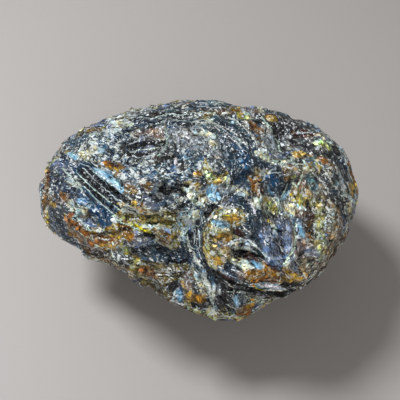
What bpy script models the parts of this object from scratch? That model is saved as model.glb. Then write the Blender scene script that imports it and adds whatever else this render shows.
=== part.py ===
"""A raw amber lump: one solid piece of fossil resin, knocked about and chipped, resting on a flat break.

The lump is worked out as a reach from its middle in every direction. Its flanks are flat faces that
run into each other in worn corners. Rounded breaks bite into that block, ledges, crests and furrows
run over it, and chips cover it. The mesh is then thinned to the faces that the form needs, cut off flat
where the lump rests, and centred. Metres, +Z up, with the surface it rests on at Z = 0.
"""

import math
from collections import namedtuple

import bmesh
import bpy
import numpy as np
from mathutils import Vector, noise

MM = 0.001

# Driving dimensions, in millimetres.
MIDDLE = (0.0, 0.0, 27.0)
MEAN_REACH = 43.0
ROUNDING = 8.0
EDGE = 0.9
SKIN = 0.5
SWELL = 0.8
SWELL_SPACING = 14.0
BED_LEVELLING = 0.05
FACES = 9400

# Flat faces of the block: azimuth 0 looks to +X and 90 to +Y, elevation is up from level, in degrees,
# and reach is the face's distance from the middle, in millimetres.
Flank = namedtuple("Flank", "name azimuth elevation reach")
FLANKS = (
    Flank("right_end", 0, 4, 62.5),
    Flank("back_right", 35, 24, 59.0),
    Flank("back_far_right", 60, 33, 48.5),
    Flank("back", 90, 40, 42.3),
    Flank("back_far_left", 122, 34, 48.0),
    Flank("back_left", 148, 22, 58.0),
    Flank("left_end", 162, 1, 66.5),
    Flank("left_under", 223, -18, 70.0),
    Flank("lower_left", 234, -34, 29.8),
    Flank("foot_left", 262, -45, 44.5),
    Flank("foot", 286, -38, 42.5),
    Flank("lower_right", 316, -28, 43.0),
    Flank("right_under", 343, -14, 62.5),
    Flank("crown", 90, 85, 31.5),
    Flank("brow", 262, 50, 38.5),
    Flank("left_brow", 215, 35, 46.0),
    Flank("right_brow", 322, 35, 50.0),
    Flank("under_back", 90, -45, 36.0),
    Flank("bed", 0, -90, 31.0),
    Flank("back_foot_right", 40, -30, 48.0),
    Flank("back_foot_left", 140, -30, 45.0),
)

# Rounded bites: where the dish lies, its width across and its depth.
Break = namedtuple("Break", "name azimuth elevation width depth")
BREAKS = (
    Break("right_bowl", 324, 42, 30, 4.5),
    Break("right_wall", 311, 28, 17, 3.0),
    Break("dark_scoop", 254, 30, 21, 3.0),
    Break("foot_facet_left", 277, 10, 15, 2.2),
    Break("foot_facet_right", 292, 8, 15, 2.2),
    Break("left_valley", 206, 42, 14, 2.2),
    Break("blue_hollow", 214, 30, 11, 1.8),
    Break("crown_scoop", 180, 59, 13, 1.8),
    Break("crown_flat", 150, 74, 14, 1.0),
    Break("right_flat", 8, 56, 14, 1.2),
    Break("centre_pit", 243, 60, 9, 2.2),
    Break("left_notch", 247, 6, 12, 3.0),
    Break("back_shell", 70, 20, 34, 4.0),
    Break("back_left_shell", 140, 8, 26, 3.5),
    Break("right_shell", 12, 8, 24, 2.5),
    Break("end_shell", 183, -12, 18, 1.4),
)

# Steps: walking along the path, the left-hand side stands up by lift and the right-hand side is sunk by
# drop; each fades out over its spread.
Ledge = namedtuple("Ledge", "name path lift lift_spread drop drop_spread")
LEDGES = (
    Ledge("lip", ((276, 52), (272, 38), (275, 28), (281, 22), (290, 17), (300, 12), (312, 7), (328, 3),
                  (346, 0)), 1.2, 16, 4.8, 14),
    Ledge("orange_shelf", ((203, 20), (211, 15), (222, 20), (232, 27), (248, 29), (262, 25)),
          0.5, 8, 2.0, 9),
    Ledge("brow_line", ((221, 39), (232, 42), (246, 47), (262, 44)), 0.8, 12, 1.4, 9),
    Ledge("bowl_rim", ((292, 60), (320, 62), (345, 47), (346, 35)), 0.7, 12, 1.4, 10),
    Ledge("crown_step_low", ((10, 52), (20, 62), (60, 70), (120, 62), (145, 50)), 0.6, 6, 1.3, 6),
    Ledge("crown_step_high", ((355, 62), (20, 74), (100, 78), (150, 62), (165, 48)), 0.6, 6, 1.2, 5),
    Ledge("back_step", ((30, 44), (60, 52), (100, 52), (130, 44)), 0.6, 6, 1.4, 7),
    Ledge("back_lip", ((35, 0), (65, -4), (95, 2), (125, -2), (150, 5)), 0.8, 12, 2.6, 12),
)

# Raised crests, and furrows where rise is below zero: a path, how far it rises and how wide it is.
Stroke = namedtuple("Stroke", "name path rise width")
STROKES = (
    Stroke("furrow_1", ((178, 36), (199, 44), (218, 46)), -1.7, 3.0),
    Stroke("furrow_2", ((181, 32), (202, 40), (220, 42)), -1.8, 3.0),
    Stroke("furrow_3", ((184, 29), (204, 36), (222, 38)), -1.4, 2.6),
    Stroke("furrow_4", ((187, 26), (206, 32), (222, 34)), -1.0, 2.6),
    Stroke("slot", ((284, 30), (292, 30), (302, 27)), -2.2, 3.2),
    Stroke("slot_lip", ((282, 34), (292, 34), (301, 31)), 1.2, 5.0),
    Stroke("wall_crest", ((324, 34), (316, 28), (308, 19)), 2.0, 6.0),
    Stroke("left_toe", ((180, 3), (190, 3), (200, -1), (214, -6)), 3.6, 17.0),
    Stroke("yellow_rim", ((278, 52), (284, 44), (285, 36), (283, 27)), 1.8, 8.0),
)

# Flat chips all over: how far apart they lie, how steeply each tips and how deep it may go.
Chips = namedtuple("Chips", "name spacing tip most seed")
CHIPS = (
    Chips("large", 10.0, 0.20, 1.0, 3.0),
    Chips("small", 5.0, 0.26, 0.6, 17.0),
)


def towards(azimuth, elevation):
    """The direction at an azimuth and an elevation, in degrees."""
    a, e = math.radians(azimuth), math.radians(elevation)
    return np.array([math.cos(a) * math.cos(e), math.sin(a) * math.cos(e), math.sin(e)])


def smooth(low, high, values):
    """0 below low, 1 above high, and a smooth rise between."""
    share = np.clip((values - low) / (high - low), 0, 1)
    return share * share * (3 - 2 * share)


def flank_reach(directions):
    """How far from the middle each direction leaves the rounded block that the flanks enclose."""
    total = np.zeros(len(directions))
    for flank in FLANKS:
        facing = np.maximum(directions @ towards(flank.azimuth, flank.elevation), 0)
        total += (facing / flank.reach) ** ROUNDING
    return total ** (-1 / ROUNDING)


def break_reach(cut, directions):
    """How far from the middle each direction meets the ball that bites this break out of the block."""
    axis = towards(cut.azimuth, cut.elevation)
    radius = ((cut.width / 2) ** 2 + cut.depth**2) / (2 * cut.depth)
    far = flank_reach(axis[None])[0] - cut.depth + radius
    along = directions @ axis * far
    spare = along**2 - far**2 + radius**2
    reach = along - np.sqrt(np.maximum(spare, 0))
    return np.where((spare > 0) & (reach > 0), reach, np.inf)


def curve_through(path, steps=8):
    """Unit directions along a smooth curve through the path's own points."""
    knots = [towards(*at) for at in path]
    knots = [2 * knots[0] - knots[1], *knots, 2 * knots[-1] - knots[-2]]
    found = []
    for a, b, c, d in zip(knots, knots[1:], knots[2:], knots[3:]):
        for t in np.arange(steps) / steps:
            found.append(b + 0.5 * t * (c - a + t * (2 * a - 5 * b + 4 * c - d + t * (3 * (b - c) + d - a))))
    found.append(knots[-2])
    return np.array([p / np.linalg.norm(p) for p in found])


def beside(path, directions):
    """(millimetres to the left of the path, share of the way along it) for each direction."""
    curve = curve_through(path)
    nearest = np.full(len(directions), np.inf)
    side, share = np.zeros(len(directions)), np.zeros(len(directions))
    for i, (a, b) in enumerate(zip(curve, curve[1:])):
        run = b - a
        t = np.clip((directions - a) @ run / (run @ run), 0, 1)
        away = directions - (a + t[:, None] * run)
        distance = np.linalg.norm(away, axis=1)
        closer = distance < nearest
        left = np.sign((np.cross(run, away) * directions).sum(1))
        nearest = np.where(closer, distance, nearest)
        side = np.where(closer, left, side)
        share = np.where(closer, (i + t) / (len(curve) - 1), share)
    return side * nearest * MEAN_REACH, share


def ledge_relief(ledge, directions):
    away, share = beside(ledge.path, directions)
    ends = smooth(0, 0.12, share) * smooth(1, 0.88, share)
    up = ledge.lift * smooth(0, EDGE, away) * np.exp(-((away / ledge.lift_spread) ** 2))
    down = ledge.drop * smooth(0, EDGE, -away) * np.exp(-((away / ledge.drop_spread) ** 2))
    return ends * (up - down)


def stroke_relief(stroke, directions):
    away, share = beside(stroke.path, directions)
    ends = smooth(0, 0.2, share) * smooth(1, 0.8, share)
    return stroke.rise * ends * np.maximum(1 - np.abs(away) / (stroke.width / 2), 0)


def chip_relief(chips, points):
    """A flat face for each chip, tipped its own way, meeting its neighbours in creases."""
    relief = []
    for p in points:
        at = Vector(p) / chips.spacing + Vector((chips.seed, 0, 0))
        distances, middles = noise.voronoi(at)
        tip = noise.cell_vector(middles[0] * 7.3) - Vector((0.5, 0.5, 0.5))
        inside = min((distances[1] - distances[0]) / 0.16, 1)
        relief.append(inside * (at - middles[0]).dot(tip) * 2 * chips.tip * chips.spacing)
    return np.clip(relief, -chips.most, chips.most)


def swell_relief(points):
    return [SWELL * noise.noise(Vector(p) / SWELL_SPACING) for p in points]


def wander(directions, scale, amount):
    """The directions, each pushed aside by smooth noise, so that no edge is a clean arc."""
    apart = (Vector((0, 0, 0)), Vector((31.7, 5.3, 0)), Vector((0, 17.9, 43.1)))
    pushed = []
    for direction in directions:
        at = Vector(direction) * scale
        push = Vector([noise.noise(at + offset) for offset in apart])
        pushed.append((Vector(direction) + amount * push).normalized())
    return np.array(pushed)


def lump_points(directions):
    """Where the surface lies in each direction, in millimetres."""
    bent = wander(wander(directions, 3.0, 0.02), 9.0, 0.02)
    reach = flank_reach(bent)
    for cut in BREAKS:
        reach = np.minimum(reach, break_reach(cut, bent))
    for ledge in LEDGES:
        reach += ledge_relief(ledge, bent)
    for stroke in STROKES:
        reach += stroke_relief(stroke, bent)
    reach -= SKIN
    points = np.array(MIDDLE) + directions * reach[:, None]
    reach += swell_relief(points)
    for chips in CHIPS:
        reach += chip_relief(chips, points)
    return np.array(MIDDLE) + directions * reach[:, None]


def fine_mesh():
    form = bmesh.new()
    bmesh.ops.create_icosphere(form, subdivisions=7, radius=1)
    directions = np.array([v.co.normalized() for v in form.verts])
    for vertex, point in zip(form.verts, lump_points(directions)):
        vertex.co = Vector(point) * MM
    mesh = bpy.data.meshes.new("fine")
    form.to_mesh(mesh)
    form.free()
    return mesh


def thinned(mesh, faces):
    """The mesh with only as many faces as given, kept where the form turns most."""
    helper = bpy.data.objects.new("helper", mesh)
    bpy.context.scene.collection.objects.link(helper)
    thin = helper.modifiers.new("Thin", "DECIMATE")
    thin.ratio = faces / len(mesh.polygons)
    bpy.context.view_layer.update()
    found = bpy.data.meshes.new_from_object(helper.evaluated_get(bpy.context.evaluated_depsgraph_get()))
    bpy.data.objects.remove(helper)
    bpy.data.meshes.remove(mesh)
    return found


def rest_flat(mesh):
    """Cuts the underside off level at Z = 0, closes it with one flat face and centres the mesh over it."""
    form = bmesh.new()
    form.from_mesh(mesh)
    everything = [*form.verts, *form.edges, *form.faces]
    cut = bmesh.ops.bisect_plane(
        form, geom=everything, dist=0.02 * MM, plane_co=(0, 0, 0), plane_no=(0, 0, -1), clear_outer=True
    )
    rim = [item for item in cut["geom_cut"] if isinstance(item, bmesh.types.BMEdge)]
    bmesh.ops.contextual_create(form, geom=rim)
    bmesh.ops.triangulate(form, faces=[face for face in form.faces if len(face.verts) > 3])
    bmesh.ops.recalc_face_normals(form, faces=form.faces)
    for vertex in form.verts:
        if abs(vertex.co.z) < BED_LEVELLING * MM:
            vertex.co.z = 0
    across = np.array([v.co[:2] for v in form.verts])
    x, y = (across.min(0) + across.max(0)) / 2
    bmesh.ops.translate(form, verts=form.verts, vec=(-x, -y, 0))
    form.to_mesh(mesh)
    form.free()


def amber():
    material = bpy.data.materials.new("amber_rind")
    material.use_nodes = True
    shader = material.node_tree.nodes["Principled BSDF"]
    shader.inputs["Base Color"].default_value = (0.10, 0.085, 0.07, 1)
    shader.inputs["Roughness"].default_value = 0.4
    shader.inputs["IOR"].default_value = 1.54
    return material


def main():
    for old in list(bpy.data.objects):
        bpy.data.objects.remove(old)
    mesh = thinned(fine_mesh(), FACES)
    mesh.name = "amber_lump"
    rest_flat(mesh)
    mesh.materials.append(amber())
    lump = bpy.data.objects.new("amber_lump", mesh)
    bpy.context.scene.collection.objects.link(lump)


main()
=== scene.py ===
"""Dresses a raw amber lump, worked over its fixed solid.

The lump is one mesh: the solid's own form, softened, then stepped and chipped along a grain, with small
flakes bedded in it and thin ridges, splinters and cracks over it. Marks drawn on its front, and zones
scattered by seeded noise elsewhere, say where the rind is dark glass, where powdery crust covers it, and
where the amber shows through; some marks paint glints, reflections and shade on. One material reads them.
Metres, +Z up.
"""

import math
from collections import namedtuple
from types import SimpleNamespace
import bmesh
import bpy
import numpy as np
from bpy.props import FloatProperty, FloatVectorProperty, IntProperty, PointerProperty
from mathutils import Matrix, Vector
from mathutils.bvhtree import BVHTree


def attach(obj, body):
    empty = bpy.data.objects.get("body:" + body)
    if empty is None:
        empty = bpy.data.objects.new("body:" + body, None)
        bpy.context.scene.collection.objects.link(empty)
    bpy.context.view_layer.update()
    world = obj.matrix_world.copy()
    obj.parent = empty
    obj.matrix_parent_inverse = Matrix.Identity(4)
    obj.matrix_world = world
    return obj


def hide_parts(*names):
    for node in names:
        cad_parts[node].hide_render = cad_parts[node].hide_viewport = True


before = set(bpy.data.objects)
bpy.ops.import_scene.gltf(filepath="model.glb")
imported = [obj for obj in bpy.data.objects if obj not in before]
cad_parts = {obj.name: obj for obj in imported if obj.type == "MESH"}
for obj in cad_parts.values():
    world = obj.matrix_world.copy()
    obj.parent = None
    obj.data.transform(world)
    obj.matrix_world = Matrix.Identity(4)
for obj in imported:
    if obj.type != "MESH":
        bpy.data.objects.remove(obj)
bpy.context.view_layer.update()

bl_info = {
    "name": "Raw amber lump",
    "version": (1, 0, 0),
    "blender": (4, 5, 0),
    "location": "3D View > Sidebar > Amber",
    "description": "Chipped rind, powdery crust and see-through windows for a raw amber lump",
    "category": "Object",
}

MM = 0.001
TINY = 1e-9  # a length too small to divide by
NODE = "amber_lump"

# The place inside the solid that its surface is measured from, in millimetres.
MIDDLE = np.array((-0.098, -1.987, 27.0))

# The stage camera, in millimetres and degrees. Its frame is square, and marks are placed in the frame's
# units from its top left corner.
FRAME_SIDE = 400
FRAME_MIDDLE = (200, 208)
AIM = np.array((0.602, 1.013, 29.5))
CAMERA_ELEVATION = 50.0
CAMERA_DISTANCE = 235.0
FOCAL_UNITS = 660.0
SENSOR = 36.0

# How far a point that just misses the lump is drawn in towards the frame's middle, tried in this order.
DRAWN_IN = (0, 0.02, 0.04, 0.06, 0.08, 0.1)

# What each finish does: its colour, how see-through it is, how much powder lies on it, how glassy it is,
# how far it stands up and how wide its flakes are, both in millimetres, and how broken up it is.
Finish = namedtuple("Finish", "colour window crust gloss rise flake busy")
FINISHES = {
    "rind": Finish((0.07, 0.07, 0.07), 0, 0.16, 0.6, 0, 2.0, 0.6),
    "crust": Finish((0.095, 0.088, 0.075), 0, 0.48, 0.1, 0.1, 1.4, 0.8),
    "frost": Finish((0.05, 0.085, 0.13), 0, 0.29, 0.3, 0.05, 1.3, 0.9),
    "deep": Finish((0.04, 0.04, 0.041), 0, 0, 0.8, 0, 2.6, 0.3),
    "slate": Finish((0.05, 0.068, 0.102), 0, 0.06, 0.8, 0, 3.2, 0.3),
    "navy": Finish((0.034, 0.054, 0.077), 0, 0, 0.9, -0.1, 2.6, 0.2),
    "violet": Finish((0.2, 0.23, 0.33), 0, 0.05, 0.8, 0, 2.6, 0.3),
    "mauve": Finish((0.25, 0.18, 0.16), 0, 0.06, 0.7, 0, 2.4, 0.35),
    "film": Finish((0.29, 0.295, 0.3), 0, 0, 0.5, 0, 1.8, 0.2),
    "beige": Finish((0.3, 0.225, 0.14), 0, 0.08, 0.5, 0, 1.6, 0.6),
    "chalk": Finish((0.58, 0.7, 0.76), 0, 0.5, 0.3, 0.15, 1.2, 0.9),
    "azure": Finish((0.022, 0.062, 0.125), 0, -0.12, 1, 0, 3.0, 0.12),
    "steel": Finish((0.062, 0.105, 0.15), 0, 0, 1, 0, 3.2, 0.3),
    "teal": Finish((0.13, 0.19, 0.2), 0, 0.08, 1, 0, 2.6, 0.4),
    "brown": Finish((0.2, 0.115, 0.05), 0, 0.10, 0.7, 0, 2.4, 0.5),
    "olive": Finish((0.37, 0.29, 0.1), 0.3, 0.14, 0.8, 0, 2.8, 0.9),
    "moss": Finish((0.17, 0.125, 0.048), 0.2, -0.05, 0.7, 0, 2.4, 0.4),
    "cream": Finish((0.84, 0.81, 0.62), 0, 0.3, 0.5, 0.1, 1.8, 0.9),
    "straw": Finish((0.38, 0.365, 0.2), 0.1, 0.13, 0.6, 0, 2.4, 0.5),
    "honey": Finish((0.5, 0.39, 0.18), 0.35, 0.10, 0.7, 0, 2.6, 0.9),
    "lemon": Finish((0.76, 0.71, 0.27), 0.35, 0.08, 0.9, 0, 2.2, 0.8),
    "gold": Finish((0.86, 0.5, 0.06), 0.9, -0.09, 1, 0, 2.9, 0.8),
    "orange": Finish((0.85, 0.38, 0.018), 1, -0.14, 1, 0, 3, 0.7),
    "rust": Finish((0.5, 0.18, 0.022), 0.9, -0.06, 0.9, 0, 2.9, 0.7),
    "maroon": Finish((0.10, 0.025, 0.02), 0.6, 0.03, 0.8, -0.2, 2.4, 0.5),
    # Pale sky blue on glassy facets: a painted reflection of the sky.
    "glass": Finish((0.42, 0.68, 0.88), 0, 0, 1, 0, 3.0, 0.15),
    "blade": Finish((0.042, 0.078, 0.125), 0, -0.4, 0.9, 0, 3.0, 0),
    # Black in pits and cracks, and painted shade in the grooves and under the lips.
    "dark": Finish((0.014, 0.013, 0.014), 0, -0.5, 0.8, -0.7, 1.8, 0.1),
}

# Broad grounds on the front, under the finish each has: how wide it is in millimetres, then the points of
# the line that it follows in the camera's frame. Later finishes lie over earlier ones.
GROUNDS = {
    "rind": (
        (30.0, (110, 230), (200, 270), (290, 250)),
        (16.0, (90, 150), (200, 160)),
    ),
    "beige": (
        (7.0, (292, 168), (302, 188)),
        (14.0, (322, 205), (336, 222), (328, 250)),
        (6.0, (330, 255), (310, 275)),
        (6.0, (206, 140), (218, 152)),
        (5.0, (192, 111), (232, 110)),
        (6.0, (206, 280), (216, 290)),
    ),
    "frost": (
        (10.0, (96, 140), (112, 142), (126, 150)),
        (8.0, (100, 156), (118, 160)),
        (8.0, (128, 168), (150, 176), (166, 172)),
        (7.0, (188, 156), (200, 162)),
        (6.0, (190, 176), (198, 172)),
    ),
    "crust": (
        (3.0, (110, 132), (128, 124)),
        (5.0, (86, 146), (94, 150)),
    ),
    "slate": (
        (8.0, (200, 104), (228, 106)),
        (11.0, (262, 112), (285, 116), (300, 126)),
        (10.0, (284, 140), (304, 142)),
        (12.0, (56, 170), (72, 190)),
        (8.0, (150, 190), (160, 196)),
        (12.0, (205, 290), (228, 300)),
        (6.0, (140, 122), (190, 118)),
    ),
    "deep": (
        (10.0, (332, 150), (345, 178)),
        (9.0, (337, 188), (346, 204)),
        (8.0, (226, 118), (240, 128)),
        (7.0, (160, 114), (190, 112)),
        (7.0, (262, 110), (282, 116), (300, 126)),
        (6.0, (296, 142), (316, 152)),
        (7.0, (130, 151), (146, 150), (158, 146)),
        (7.0, (281, 128), (284, 142)),
        (9.0, (292, 130), (306, 142)),
        (5.0, (256, 116), (272, 126)),
        (6.0, (296, 122), (310, 130)),
        (5.0, (196, 305), (228, 312)),
        # These two are painted shade, under the rim's edge and under the orange band.
        (3.0, (310, 276), (324, 266)),
        (4.0, (268, 296), (284, 296)),
        (6.0, (222, 284), (232, 300)),
        (5.0, (180, 282), (200, 284)),
    ),
    "film": (
        (7.0, (176, 136), (196, 142)),
        (6.0, (210, 146), (220, 150)),
        (4.0, (264, 130), (268, 142), (274, 152)),
    ),
    "blade": (
        (8.0, (82, 172), (98, 188), (112, 204)),
        (5.0, (112, 204), (124, 210)),
    ),
    "navy": (
        (1.6, (234, 243), (252, 245)),
        (9.0, (190, 216), (194, 248)),
        (12.0, (228, 130), (240, 148), (246, 172)),
        (6.0, (252, 150), (256, 160)),
        (10.0, (266, 170), (280, 182)),
        (5.0, (205, 127), (230, 130)),
        (9.0, (247, 200), (258, 222)),
        (9.0, (54, 212), (62, 234)),
        (9.0, (150, 246), (172, 256), (186, 260)),
        (9.0, (248, 200), (256, 226), (262, 240)),
        (5.0, (196, 246), (204, 262), (214, 274)),
        (7.0, (196, 262), (206, 274)),
    ),
    "violet": (
        (13.0, (280, 238), (284, 258)),
        (5.0, (138, 236), (142, 240)),
    ),
    "mauve": (
        (12.0, (306, 214), (310, 250)),
        (3.0, (340, 214), (338, 236)),
        (5.0, (142, 134), (158, 136)),
        (4.0, (114, 243), (120, 248)),
        (4.0, (254, 110), (262, 112)),
    ),
    "straw": (
        (4.5, (318, 209), (318, 226)),
        (4.5, (317, 236), (319, 253)),
    ),
    "olive": (
        (6.0, (98, 232), (120, 232)),
        (9.0, (130, 215), (150, 220), (172, 222)),
        (6.0, (158, 236), (170, 240)),
        (5.0, (136, 264), (144, 280)),
        (5.0, (174, 306), (186, 310)),
        (4.5, (194, 314), (232, 317), (262, 311)),
        (4.0, (43, 214), (44, 228)),
        (5.0, (298, 200), (310, 204)),
    ),
    "moss": (
        (7.0, (152, 272), (186, 276)),
        (7.0, (150, 288), (170, 300)),
        (5.0, (112, 262), (132, 276)),
    ),
    "honey": (
        (5.0, (220, 214), (238, 216)),
        (6.0, (212, 232), (230, 236)),
        (6.0, (211, 246), (222, 250)),
        (5.0, (212, 256), (222, 262)),
        (4.0, (188, 188), (200, 200)),
        (4.0, (208, 170), (214, 182)),
    ),
}

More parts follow.
